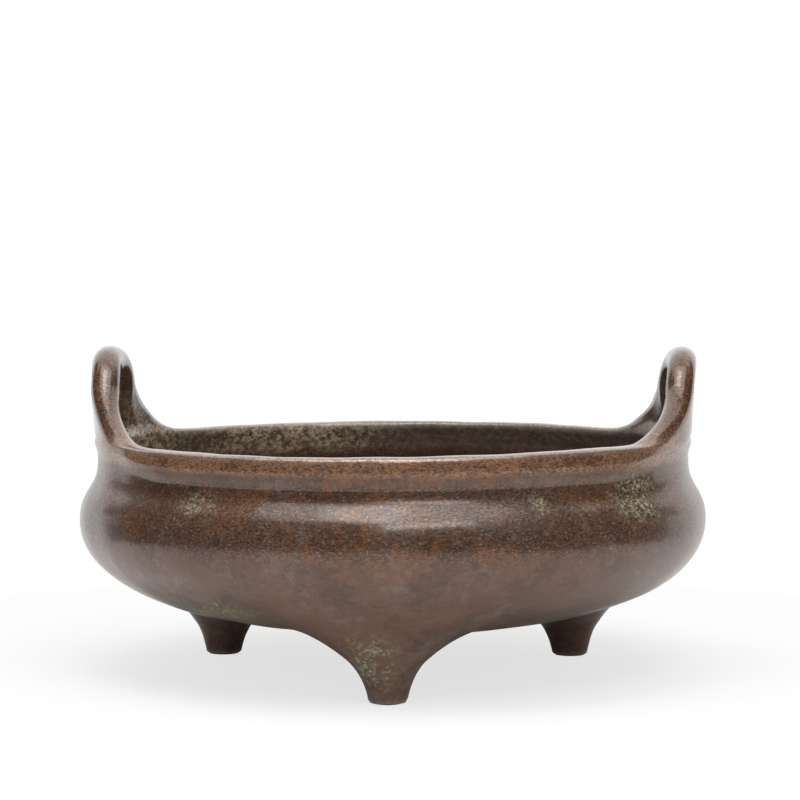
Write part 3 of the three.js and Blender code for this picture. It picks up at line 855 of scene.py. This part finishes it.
# %% [markdown]
# ## Parting the castings
#
# The frame has six pieces: the bowl with the roots of its ears, two ears and three feet. The mesh is parted
# at the same planes, so each piece lies where its node does. Cutting a mesh breaks its shading at the cut,
# and a hairline would show, so each piece keeps the normals that it had when it was whole.

# %% Cut the mesh and keep its shading
EAR_SPLIT = LIP_TOP + 9.55  # between the ear and its roots
FOOT_SPLIT = SEAT_HEIGHT - 0.15  # between a foot and the bowl


def parted(name, planes, keeps=None):
    """A copy of the casting with everything beyond each plane cut off, and the cuts closed."""
    shape = bmesh.new()
    shape.from_mesh(casting.data)
    if keeps:
        bmesh.ops.delete(shape, geom=[v for v in shape.verts if not keeps(v.co)], context="VERTS")
    for height, side in planes:
        everything = [*shape.verts, *shape.edges, *shape.faces]
        bmesh.ops.bisect_plane(
            shape,
            geom=everything,
            plane_co=(0, 0, height * MILLIMETRE),
            plane_no=(0, 0, side),
            clear_outer=True,
        )
    open_edges = [e for e in shape.edges if e.is_boundary]
    caps = bmesh.ops.holes_fill(shape, edges=open_edges, sides=0)["faces"]
    for face in caps:
        face.smooth = False
    bmesh.ops.triangulate(shape, faces=caps)
    made = bpy.data.objects.new(name, bpy.data.meshes.new(name))
    shape.to_mesh(made.data)
    shape.free()
    scene.collection.objects.link(made)
    return made


def keep_normals(made):
    """Uses the normals of the whole casting on every smooth face, and flat ones on the caps."""
    mesh = made.data
    smooth = np.zeros(len(mesh.vertices) * 3, np.float32)
    mesh.attributes["smooth_normal"].data.foreach_get("vector", smooth)
    smooth = smooth.reshape(-1, 3)
    split = np.zeros((len(mesh.loops), 3), np.float32)
    for face in mesh.polygons:
        for loop in face.loop_indices:
            flat = not face.use_smooth
            split[loop] = face.normal if flat else smooth[mesh.loops[loop].vertex_index]
    mesh.normals_split_custom_set(split.tolist())
    mesh.attributes.remove(mesh.attributes["smooth_normal"])


def beside(x, y):
    """A test for points that lie within 60 degrees of a direction, as seen from the bowl's axis."""
    return lambda point: point.x * x + point.y * y > 0.5 * math.hypot(point.x, point.y)


print("the ears are parted at", round(EAR_SPLIT, 2), "mm and the feet at", round(FOOT_SPLIT, 2), "mm")

# %% Part the casting at the seats
pieces = {"bowl": parted("bowl_casting", [(EAR_SPLIT, 1), (FOOT_SPLIT, -1)])}
for node, x in (("ear_left", -1), ("ear_right", 1)):
    pieces[node] = parted(node + "_casting", [(EAR_SPLIT, -1)], beside(x, 0))
for node, degrees in FOOT_ANGLES.items():
    turn = math.radians(degrees)
    pieces[node] = parted(node + "_casting", [(FOOT_SPLIT, 1)], beside(math.cos(turn), math.sin(turn)))
for made in pieces.values():
    keep_normals(made)
    print(made.name, len(made.data.polygons), "faces")
bpy.data.objects.remove(casting)

# %% [markdown]
# ## Rivet heads
#
# A foot cast apart is held by a tenon that goes up through the bowl, and its end is hammered over in the
# hollow above the foot. A cylinder with a bevel would look machined. This head is turned from a flattened
# dome, and a slow noise pushes its side in and out, as a hammer does.

# %% The rivet heads
RIVET_RADIUS = 5.0
RIVET_RISE = 2.1
RIVET_STEPS = 64
RIVET_CROWN_SHARE = 0.82  # share of its radius where the side turns into the crown
RIVET_SIDE = 1.1  # height over which the side stays upright
HAMMER_SIZE = 420  # dents per metre
HAMMER_DEPTH = 0.00010  # metres
RIVET_CRUST = 0.8


def rivet_section():
    """A low dome, hammered flat on top, from its underside to its crown."""
    low = DIMPLE_FLOOR - 0.1
    top = DIMPLE_FLOOR + RIVET_RISE
    side = (RIVET_RADIUS, low + RIVET_SIDE)
    rim = bezier((RIVET_RADIUS, low), side, (RIVET_CROWN_SHARE * RIVET_RADIUS, top), (0, top), steps=14)
    return chain(np.array([(0, low)]), rim) * MILLIMETRE


def hammered(spot):
    """A point of the dome pushed in or out a little. Its underside stays as it is."""
    if spot.z <= DIMPLE_FLOOR * MILLIMETRE:
        return spot
    out = noise.noise(spot * HAMMER_SIZE) * HAMMER_DEPTH
    return spot * (1 + out / max(spot.xy.length, 0.002))


rivets = []
for node, degrees in FOOT_ANGLES.items():
    rivet = turned(node.replace("foot", "rivet"), rivet_section(), RIVET_STEPS)
    place_x, place_y = foot_centre(degrees)
    for point in rivet.data.vertices:
        point.co = hammered(Vector(point.co)) + Vector((place_x, place_y, 0)) * MILLIMETRE
    for face in rivet.data.polygons:
        face.use_smooth = True
    layer = rivet.data.attributes.new("inside", "FLOAT", "POINT")
    layer.data.foreach_set("value", np.full(len(rivet.data.vertices), RIVET_CRUST, np.float32))
    rivets.append(rivet)
print("rivet heads:", len(rivets), "of", 2 * RIVET_RADIUS, "mm")

# %% [markdown]
# ## Into the frame
#
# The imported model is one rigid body, because nothing on the burner moves. Each casting takes the place of
# its own solid, and the rivet heads ride along.

# %% Set the pieces in the frame
for node, made in pieces.items():
    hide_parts(node)
    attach(made, "root")
for rivet in rivets:
    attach(rivet, "root")
print("pieces:", ", ".join(made.name for made in [*pieces.values(), *rivets]))

# %% [markdown]
# ## Building shaders
#
# A patina is many thin effects in layers. Each effect that is used more than once is a node group with
# named sockets, so that it reads like a tool: it takes a size and gives back a mask, a colour or a height.

# %% Helpers for nodes
def feed(tree, node, inputs):
    """Links the sockets among a node's inputs and sets the other values."""
    for socket, value in inputs.items():
        if isinstance(value, bpy.types.NodeSocket):
            tree.links.new(value, node.inputs[socket])
        else:
            node.inputs[socket].default_value = value


def add(tree, kind, inputs=None, **settings):
    """A new shader node with its settings and inputs."""
    made = tree.nodes.new("ShaderNode" + kind)
    for name, value in settings.items():
        setattr(made, name, value)
    feed(tree, made, inputs or {})
    return made


def maths(tree, operation, a, b=0.0, clamp=False):
    return add(tree, "Math", {0: a, 1: b}, operation=operation, use_clamp=clamp).outputs[0]


def between(tree, value, low, high, start=0.0, end=1.0):
    """Rises smoothly from start to end as value goes from low to high."""
    ends = {"Value": value, "From Min": low, "From Max": high, "To Min": start, "To Max": end}
    return add(tree, "MapRange", ends, interpolation_type="SMOOTHSTEP").outputs[0]


def tint(tree, share, a, b):
    """Colour a turned into b by a share."""
    made = add(tree, "Mix", data_type="RGBA", blend_type="MIX")
    feed(tree, made, {0: share, 6: a, 7: b})
    return made.outputs[2]


def linear(red, green, blue):
    """A colour as it is read off a screen, 0 to 255, in the light values that shaders use."""
    parts = [c / 255 for c in (red, green, blue)]
    light = [p / 12.92 if p <= 0.04045 else ((p + 0.055) / 1.055) ** 2.4 for p in parts]
    return (*light, 1.0)


def group(name, inputs, outputs):
    """An empty node group with its sockets, and its two end nodes."""
    tree = bpy.data.node_groups.new(name, "ShaderNodeTree")
    for label, kind, value in inputs:
        socket = tree.interface.new_socket(label, in_out="INPUT", socket_type="NodeSocket" + kind)
        socket.default_value = value
    for label, kind in outputs:
        tree.interface.new_socket(label, in_out="OUTPUT", socket_type="NodeSocket" + kind)
    return tree, tree.nodes.new("NodeGroupInput"), tree.nodes.new("NodeGroupOutput")


def place(tree, made, inputs=None):
    """A group placed in a material with its own values."""
    node = tree.nodes.new("ShaderNodeGroup")
    node.node_tree = made
    feed(tree, node, inputs or {})
    return node


print("a grey of 128 on the screen is", round(linear(128, 128, 128)[0], 3), "in light")

# %% [markdown]
# ### Mottle
#
# Chemical patina is brushed on over heat and never takes evenly. It leaves clouds with ragged edges, and
# smaller clouds in those. One noise is too regular, so a second, finer noise bends the first one's borders.
# Flatness makes the clouds wider than they are high, as a brush or a cloth that goes round the bowl does.

# %% The mottle group
mottle, given, result = group(
    "mottle",
    [
        ("Size", "Float", 0.02),
        ("Raggedness", "Float", 0.5),
        ("Coverage", "Float", 0.5),
        ("Softness", "Float", 0.1),
        ("Flatness", "Float", 1.0),
    ],
    [("Mask", "Float")],
)
squash = add(mottle, "CombineXYZ", {0: 1.0, 1: 1.0, 2: given.outputs["Flatness"]}).outputs[0]
spot = add(mottle, "TexCoord").outputs["Object"]
spot = add(mottle, "VectorMath", {0: spot, 1: squash}, operation="MULTIPLY").outputs[0]
count = maths(mottle, "DIVIDE", 1.0, given.outputs["Size"])
clouds = add(mottle, "TexNoise", {"Vector": spot, "Scale": count, "Detail": 5.0, "Roughness": 0.62})
fine_count = maths(mottle, "MULTIPLY", count, 5.5)
flecks = add(mottle, "TexNoise", {"Vector": spot, "Scale": fine_count, "Detail": 4.0, "Roughness": 0.7})
bent = maths(mottle, "SUBTRACT", flecks.outputs["Fac"], 0.5)
bent = maths(mottle, "MULTIPLY", bent, given.outputs["Raggedness"])
level = maths(mottle, "ADD", clouds.outputs["Fac"], bent)
middle = maths(mottle, "SUBTRACT", 1.0, given.outputs["Coverage"])
low = maths(mottle, "SUBTRACT", middle, given.outputs["Softness"])
high = maths(mottle, "ADD", middle, given.outputs["Softness"])
mottle.links.new(between(mottle, level, low, high), result.inputs["Mask"])
print("mottle group:", len(mottle.nodes), "nodes")

# %% [markdown]
# ### Soft spot
#
# Corrosion keeps to the places where water or ash lay. A soft spot is a round region that fades out, used
# to say where on the burner an effect may appear.

# %% The soft spot group
soft_spot, given, result = group(
    "soft spot",
    [
        ("Centre", "Vector", (0.0, 0.0, 0.0)),
        ("Stretch", "Vector", (1.0, 1.0, 1.0)),
        ("Radius", "Float", 0.01),
    ],
    [("Mask", "Float")],
)
spot = add(soft_spot, "TexCoord").outputs["Object"]
away = add(soft_spot, "VectorMath", {0: spot, 1: given.outputs["Centre"]}, operation="SUBTRACT").outputs[0]
away = add(soft_spot, "VectorMath", {0: away, 1: given.outputs["Stretch"]}, operation="DIVIDE").outputs[0]
distance = add(soft_spot, "VectorMath", {0: away}, operation="LENGTH").outputs["Value"]
share = maths(soft_spot, "DIVIDE", distance, given.outputs["Radius"])
soft_spot.links.new(between(soft_spot, share, 1.0, 0.15), result.inputs["Mask"])
print("soft spot group:", len(soft_spot.nodes), "nodes")

# %% [markdown]
# ### Casting skin
#
# Under the patina is the skin of the casting: shallow waves left by the wax tools, a fine grain from the
# clay mould, and pits where gas came out. It is a height for a bump node, in metres.

# %% The casting skin group
WAVE_HEIGHT = 0.00012  # metres
GRAIN_HEIGHT = 0.00002
PIT_DEPTH = 0.00008

casting_skin, given, result = group(
    "casting skin",
    [("Waves", "Float", 1.0), ("Grain", "Float", 1.0), ("Pits", "Float", 1.0)],
    [("Height", "Float"), ("Pit mask", "Float")],
)
spot = add(casting_skin, "TexCoord").outputs["Object"]
waves = add(casting_skin, "TexNoise", {"Vector": spot, "Scale": 110.0, "Detail": 2.0, "Roughness": 0.5})
grain = add(casting_skin, "TexNoise", {"Vector": spot, "Scale": 1500.0, "Detail": 3.0, "Roughness": 0.65})
cells = add(casting_skin, "TexVoronoi", {"Vector": spot, "Scale": 520.0, "Randomness": 1.0})
sparse = add(casting_skin, "TexNoise", {"Vector": spot, "Scale": 160.0, "Detail": 2.0})
pit_shape = between(casting_skin, cells.outputs["Distance"], 0.24, 0.05)
pit_place = between(casting_skin, sparse.outputs["Fac"], 0.54, 0.66)
pit = maths(casting_skin, "MULTIPLY", pit_shape, pit_place)
wave_height = maths(casting_skin, "MULTIPLY", waves.outputs["Fac"], WAVE_HEIGHT)
wave_height = maths(casting_skin, "MULTIPLY", wave_height, given.outputs["Waves"])
grain_height = maths(casting_skin, "MULTIPLY", grain.outputs["Fac"], GRAIN_HEIGHT)
grain_height = maths(casting_skin, "MULTIPLY", grain_height, given.outputs["Grain"])
pit_depth = maths(casting_skin, "MULTIPLY", pit, PIT_DEPTH)
pit_depth = maths(casting_skin, "MULTIPLY", pit_depth, given.outputs["Pits"])
height = maths(casting_skin, "ADD", wave_height, grain_height)
height = maths(casting_skin, "SUBTRACT", height, pit_depth)
casting_skin.links.new(height, result.inputs["Height"])
casting_skin.links.new(pit, result.inputs["Pit mask"])
print("casting skin group:", len(casting_skin.nodes), "nodes")

# %% [markdown]
# ## Patinated bronze
#
# The finish is read from the metal outward: a warm brown patina, clouds of rust-orange where it is thin,
# dark clouds where it is thick, a dull grey film, dark and pale specks, and a paler brown on the lip and on
# the roots of the ears, where hands lift the burner. On the front shoulder the grey film is also laid where
# the lamp's highlight falls, as a painted highlight. Green corrosion lies in a few places. A crust of old
# ash covers the inside and, thinner, the inner faces of the ears. Bare rubbed metal shows on the edges. A
# thin wax lies over all of it and gives the clear reflections, the clearest on the ears, which are polished
# most.

# %% Colours and masks of the patina
DARK_BROWN = linear(60, 42, 35)
MID_BROWN = linear(104, 74, 57)
WARM_ORANGE = linear(142, 90, 52)
# Grey of the film's clouds, also used for the painted highlight on the front shoulder.
GREY_FILM_AND_HIGHLIGHT = linear(126, 113, 106)
NEARLY_BLACK = linear(50, 35, 29)
PALE_SPECK = linear(182, 156, 132)
HANDLED_BROWN = linear(174, 126, 92)
GREEN_DEEP = linear(98, 97, 74)
GREEN_PALE = linear(172, 168, 136)
CRUST_BUFF = linear(202, 184, 152)
CRUST_MID = linear(104, 86, 74)
CRUST_DARK = linear(62, 50, 44)
RUBBED_METAL = linear(192, 178, 166)

bronze = bpy.data.materials.new("patinated_bronze")
bronze.use_nodes = True
tree = bronze.node_tree
tree.nodes.clear()
shader = add(tree, "BsdfPrincipled")
add(tree, "OutputMaterial", {"Surface": shader.outputs[0]})


def on_mesh(name):
    return add(tree, "Attribute", attribute_name=name).outputs["Fac"]


def cloud(size, coverage, softness=0.08, raggedness=0.5, flatness=1.0):
    """A mask of clouds of a size in metres that cover a share of the surface."""
    sizes = {"Size": size, "Coverage": coverage, "Softness": softness, "Raggedness": raggedness}
    return place(tree, mottle, {**sizes, "Flatness": flatness}).outputs[0]


def spots(*places):
    """One mask from several soft spots, each given as (centre, radius, stretch) in millimetres."""
    total = None
    for centre, size, stretch in places:
        middle = tuple(c * MILLIMETRE for c in centre)
        sizes = {"Centre": middle, "Radius": size * MILLIMETRE, "Stretch": stretch}
        mask = place(tree, soft_spot, sizes).outputs[0]
        total = mask if total is None else maths(tree, "MAXIMUM", total, mask)
    return total


rubbed = on_mesh("rubbed")
hollow_mask = on_mesh("hollow")
inside_mask = on_mesh("inside")
height_above_ground = add(tree, "SeparateXYZ", {0: add(tree, "TexCoord").outputs["Object"]}).outputs[2]
print("masks read from the mesh: rubbed, hollow and inside")

# %% Zones by height
# Each pair says where a zone begins and where it is full, in metres above the table.
UPPER_BELLY = (0.036, 0.046)
COVE_BOTTOM = (0.0590, 0.0602)  # the cove is the hollow below the lip
COVE_TOP = (0.0615, 0.0632)
MOUTH = (0.0615, 0.0665)
CREST = (0.0655, 0.0710)
HANDLED_END = (0.067, 0.074)
EARS = (0.068, 0.078)


def zone(ends, start=0.0, end=1.0):
    return between(tree, height_above_ground, *ends, start, end)


def share_of(mask, strength):
    """A mask made weaker, or kept only where another mask is."""
    return maths(tree, "MULTIPLY", mask, strength)


def graded(mask, least, most):
    """A strength that goes from least to most as the mask goes from 0 to 1."""
    return between(tree, mask, 0.0, 1.0, least, most)


upper_belly = zone(UPPER_BELLY)
above_cove = zone(COVE_TOP)
below_cove = zone(COVE_BOTTOM, 1.0, 0.0)
open_metal = maths(tree, "MAXIMUM", above_cove, below_cove)
on_ears = zone(EARS)
polish = zone(CREST)
print("the cove lies between", round(COVE_BOTTOM[1] * 1000, 1), "and", round(COVE_TOP[0] * 1000, 1), "mm")

# %% Brown clouds
FRONT_PLACE = ((0, -88, 50), 66, (1, 1, 0.5))
# Spots of pale grey on the front shoulder, laid on the lamp's highlight and its tail to the right: a
# painted highlight.
PAINTED_HIGHLIGHT_PLACES = [
    ((4, -88, 52), 11, (0.8, 1, 1.2)),
    ((33, -83, 52), 22, (1.1, 1, 0.5)),
]

front_share = spots(FRONT_PLACE)
painted_highlight_place = spots(*PAINTED_HIGHLIGHT_PLACES)
orange_clouds = cloud(0.016, coverage=0.48, softness=0.10, raggedness=0.7, flatness=1.3)
orange_share = share_of(orange_clouds, graded(upper_belly, 0.25, 1.0))
orange_share = share_of(orange_share, graded(front_share, 0.45, 1.0))
dark_share = cloud(0.013, coverage=0.44, softness=0.12, raggedness=0.7, flatness=1.3)
film_clouds = cloud(0.018, coverage=0.38, softness=0.10, raggedness=0.8)
# The grey film's clouds together with the painted highlight on the front shoulder.
film_and_highlight_share = maths(tree, "MAXIMUM", film_clouds, painted_highlight_place)
print("slow clouds: orange, dark and grey film")

# %% Specks and handled metal
speck_strength = share_of(graded(upper_belly, 0.15, 0.85), graded(open_metal, 0.35, 1.0))
speck_share = cloud(0.0009, coverage=0.48, softness=0.12, raggedness=0.5, flatness=1.8)
blot_share = cloud(0.0030, coverage=0.42, softness=0.14, raggedness=0.8, flatness=1.8)
glint_share = cloud(0.0008, coverage=0.36, softness=0.08, raggedness=0.4, flatness=1.6)
handled = share_of(above_cove, zone(HANDLED_END, 1.0, 0.12))
handled = share_of(handled, cloud(0.009, coverage=0.62, softness=0.16, raggedness=0.8, flatness=1.5))
browns = tint(tree, share_of(dark_share, 0.55), MID_BROWN, DARK_BROWN)
browns = tint(tree, share_of(orange_share, 0.80), browns, WARM_ORANGE)
# Grey film, and on the front shoulder a painted highlight in the same grey.
browns = tint(tree, share_of(film_and_highlight_share, 0.40), browns, GREY_FILM_AND_HIGHLIGHT)
browns = tint(tree, share_of(handled, 0.85), browns, HANDLED_BROWN)
browns = tint(tree, share_of(blot_share, share_of(speck_strength, 0.45)), browns, DARK_BROWN)
browns = tint(tree, share_of(speck_share, speck_strength), browns, NEARLY_BLACK)
browns = tint(tree, share_of(glint_share, share_of(speck_strength, 0.8)), browns, PALE_SPECK)
print("brown layers: 7")

# %% Green corrosion
GREEN_PLACES = [
    ((67, -54, 55), 15, (1.1, 1.1, 0.75)),
    ((41, -76, 55), 4.5, (1, 1, 1)),
    ((-4, -69, 12), 12, (0.9, 1, 1.2)),
    ((-46, -56, 23), 26, (1, 1, 0.35)),
    ((-49, -72, 54), 10, (1, 1, 0.5)),
]

green_place = spots(*GREEN_PLACES)
green_clouds = cloud(0.0055, coverage=0.56, softness=0.12, raggedness=0.9)
green_grain = cloud(0.0011, coverage=0.50, softness=0.07, raggedness=0.4, flatness=1.5)
green_share = share_of(green_place, share_of(green_clouds, green_grain))
green_dust = share_of(hollow_mask, share_of(cloud(0.006, coverage=0.33), 0.35))
green_share = maths(tree, "MAXIMUM", green_share, green_dust)
green_tone = cloud(0.0011, coverage=0.5, softness=0.08, raggedness=0.4)
greens = tint(tree, green_tone, GREEN_DEEP, GREEN_PALE)
print("green places:", len(GREEN_PLACES))

# %% The crust inside
CRUST_PLACES = [
    ((-38, 74, 56), 46, (1, 1, 0.6)),
    ((-75, 20, 60), 40, (1, 1, 0.6)),
]

crust_place = spots(*CRUST_PLACES)
film_strength = maths(tree, "ADD", 0.15, share_of(crust_place, 0.8))
crust_clouds = cloud(0.008, coverage=0.52, softness=0.14, raggedness=0.8, flatness=1.5)
crust_film = share_of(crust_clouds, film_strength)
grain_clouds = cloud(0.007, coverage=0.60, softness=0.10, raggedness=0.9, flatness=1.5)
fine_grains = cloud(0.0017, coverage=0.50, softness=0.07, raggedness=0.9, flatness=1.3)
crust_grain = share_of(grain_clouds, fine_grains)
grain_strength = maths(tree, "ADD", 0.12, crust_place)
crust_share = maths(tree, "MULTIPLY", crust_grain, grain_strength, clamp=True)
crust = tint(tree, crust_film, CRUST_DARK, CRUST_MID)
crust = tint(tree, crust_share, crust, CRUST_BUFF)
print("crust: dark film, dull ash and buff grains")

# %% The layers' colours together
skin = place(tree, casting_skin)
colour = tint(tree, green_share, browns, greens)
colour = tint(tree, inside_mask, colour, crust)
bare = share_of(rubbed, between(tree, speck_share, 1.0, 0.0, 0.45, 1.0))
bare = share_of(bare, graded(on_ears, 1.0, 0.35))
colour = tint(tree, share_of(bare, 0.70), colour, RUBBED_METAL)
colour = tint(tree, share_of(skin.outputs["Pit mask"], 0.7), colour, DARK_BROWN)
print("layers on the browns: green, crust, bare metal and pits")

# %% Gloss and relief
dull = maths(tree, "MAXIMUM", green_share, share_of(inside_mask, zone(MOUTH, 1.0, 0.35)))
roughness = graded(dull, 0.30, 0.62)
roughness = maths(tree, "ADD", roughness, share_of(speck_share, 0.06))
roughness = maths(tree, "SUBTRACT", roughness, share_of(polish, 0.13))
metal = maths(tree, "ADD", 0.20, share_of(bare, 0.60))
metal = share_of(metal, between(tree, dull, 0.0, 0.8, 1.0, 0.05))
wax = maths(tree, "ADD", 0.45, share_of(rubbed, 0.5))
wax = maths(tree, "ADD", wax, share_of(polish, 0.35), clamp=True)
wax = share_of(wax, between(tree, dull, 0.0, 0.8, 1.0, 0.0))
bump = add(tree, "Bump", {"Height": skin.outputs["Height"], "Strength": 1.0, "Distance": 1.0})
links = {
    "Base Color": colour,
    "Roughness": roughness,
    "Metallic": metal,
    "Coat Weight": wax,
    "Normal": bump.outputs[0],
}
feed(tree, shader, links)
shader.inputs["Coat Roughness"].default_value = 0.15
for made in [*pieces.values(), *rivets]:
    made.data.materials.clear()
    made.data.materials.append(bronze)
print("nodes in the bronze:", len(tree.nodes))

# %% [markdown]
# ## The studio
#
# The burner stands on a white table under one large soft lamp with a brighter core, and a low lamp at the
# front right fills the lower belly. Behind it the ground is lit white. The camera's side of the room is
# dark, which is why the upper belly looks deep and warm while the lower belly mirrors the white table. A
# painted reflection would slide about in other views, so the room is really there: a round white table,
# black flags round the front and the sides with a curtain above them, and a black roof that is open behind.
# The camera sees through flags, curtain and roof. The table itself is lifted to nearly white where the
# camera looks at it, as a photographer does in the print, while the bronze still mirrors its real tone.

# %% The table
TABLE_RADIUS = 0.245
TABLE_FADE = 0.17
TABLE_LIFT = 0.72  # share of plain white in the shadow
PAPER_TONE = 0.94

table = new_object("table", [(0, 0, 0)], [])
shape = bmesh.new()
bmesh.ops.create_circle(shape, cap_ends=True, radius=TABLE_RADIUS, segments=96)
shape.to_mesh(table.data)
shape.free()
paper = bpy.data.materials.new("white_paper")
paper.use_nodes = True
nodes = paper.node_tree
nodes.nodes.clear()
spot = add(nodes, "TexCoord").outputs["Object"]
from_middle = add(nodes, "VectorMath", {0: spot}, operation="LENGTH").outputs["Value"]
fade = between(nodes, from_middle, TABLE_FADE, TABLE_RADIUS - 0.01)
path = add(nodes, "LightPath")
looked_at = maths(nodes, "MAXIMUM", path.outputs["Is Camera Ray"], path.outputs["Is Transmission Ray"])
lift = maths(nodes, "MULTIPLY", looked_at, TABLE_LIFT)
white_share = maths(nodes, "MAXIMUM", fade, lift)
matt = add(nodes, "BsdfDiffuse", {"Color": (PAPER_TONE, PAPER_TONE, PAPER_TONE, 1)})
glow = add(nodes, "Emission", {"Color": (1, 1, 1, 1), "Strength": 1.0})
mixed = add(nodes, "MixShader", {0: white_share, 1: matt.outputs[0], 2: glow.outputs[0]})
add(nodes, "OutputMaterial", {"Surface": mixed.outputs[0]})
table.data.materials.append(paper)
print("the table is", 2 * TABLE_RADIUS, "m across")

# %% The black flags
FLAG_RADIUS = 1.25
FLAG_SPREAD = 118  # degrees to each side of the camera's direction
HIGH_SPREAD = 127  # the same, above the low part
FLAG_FOOT = -0.4
LOW_PART = 0.25
ROOF_HEIGHT = 1.25
ROOF_BACK = 0.15  # the roof ends just behind the burner
FRONT = -90  # degrees, the camera's direction
BEND_STEPS = 40
CLOTH_BLACK = (0.02, 0.02, 0.02, 1)


def bent_row(first, last, height):
    """Points round the burner from one direction to another, in degrees."""
    turns = np.radians(np.linspace(first, last, BEND_STEPS + 1))
    return [(FLAG_RADIUS * math.cos(t), FLAG_RADIUS * math.sin(t), height) for t in turns]


def wall(name, spread, low, high):
    """A bent wall that goes round the front between two heights."""
    points = bent_row(FRONT - spread, FRONT + spread, low) + bent_row(FRONT - spread, FRONT + spread, high)
    up = BEND_STEPS + 1
    return new_object(name, points, [(i, i + 1, i + 1 + up, i + up) for i in range(BEND_STEPS)])


flags = wall("black_flags", FLAG_SPREAD, FLAG_FOOT, LOW_PART)
curtain = wall("black_curtain", HIGH_SPREAD, LOW_PART, ROOF_HEIGHT)
roof_end = math.degrees(math.asin(ROOF_BACK / FLAG_RADIUS))
roof = new_object("black_roof", bent_row(-180 - roof_end, roof_end, ROOF_HEIGHT), [range(BEND_STEPS + 1)])
for screen in (flags, curtain, roof):
    screen.visible_camera = False
    screen.visible_diffuse = False
    screen.visible_shadow = False
cloth = bpy.data.materials.new("black_cloth")
cloth.use_nodes = True
nodes = cloth.node_tree
nodes.nodes.clear()
dark = add(nodes, "BsdfDiffuse", {"Color": CLOTH_BLACK})
add(nodes, "OutputMaterial", {"Surface": dark.outputs[0]})
for screen in (flags, curtain, roof):
    screen.data.materials.append(cloth)
print("the white ground is open over", 360 - 2 * FLAG_SPREAD, "degrees behind the burner")

# %% The white room and the lamps
ROOM_LIGHT = 0.50
LAMP_TARGET = Vector((0, 0, 0.04))
LAMPS = {  # power in watts, width and depth in metres, place
    "soft_lamp": (5.2, (1.12, 0.72), (-0.04, -0.27, 0.98)),
    "lamp_core": (1.3, (0.34, 0.34), (-0.09, -0.31, 0.93)),
    "low_lamp": (1.7, (0.46, 0.26), (0.21, -0.68, 0.70)),
}

world = bpy.data.worlds.new("white_room")
scene.world = world
world.use_nodes = True
nodes = world.node_tree
nodes.nodes.clear()
path = add(nodes, "LightPath")
seen = maths(nodes, "MAXIMUM", path.outputs["Is Camera Ray"], path.outputs["Is Glossy Ray"])
seen = maths(nodes, "MAXIMUM", seen, path.outputs["Is Transmission Ray"])
strength = maths(nodes, "ADD", ROOM_LIGHT, maths(nodes, "MULTIPLY", seen, 1 - ROOM_LIGHT))
background = add(nodes, "Background", {"Color": (1, 1, 1, 1), "Strength": strength})
add(nodes, "OutputWorld", {"Surface": background.outputs[0]})

for name, (power, size, spot) in LAMPS.items():
    lamp_data = bpy.data.lights.new(name, "AREA")
    lamp_data.energy = power
    lamp_data.shape = "RECTANGLE"
    lamp_data.size, lamp_data.size_y = size
    lamp = bpy.data.objects.new(name, lamp_data)
    lamp.location = spot
    lamp.rotation_euler = (LAMP_TARGET - Vector(spot)).to_track_quat("-Z", "Y").to_euler()
    scene.collection.objects.link(lamp)
scene.view_settings.view_transform = "Standard"
print("lamps:", ", ".join(LAMPS))
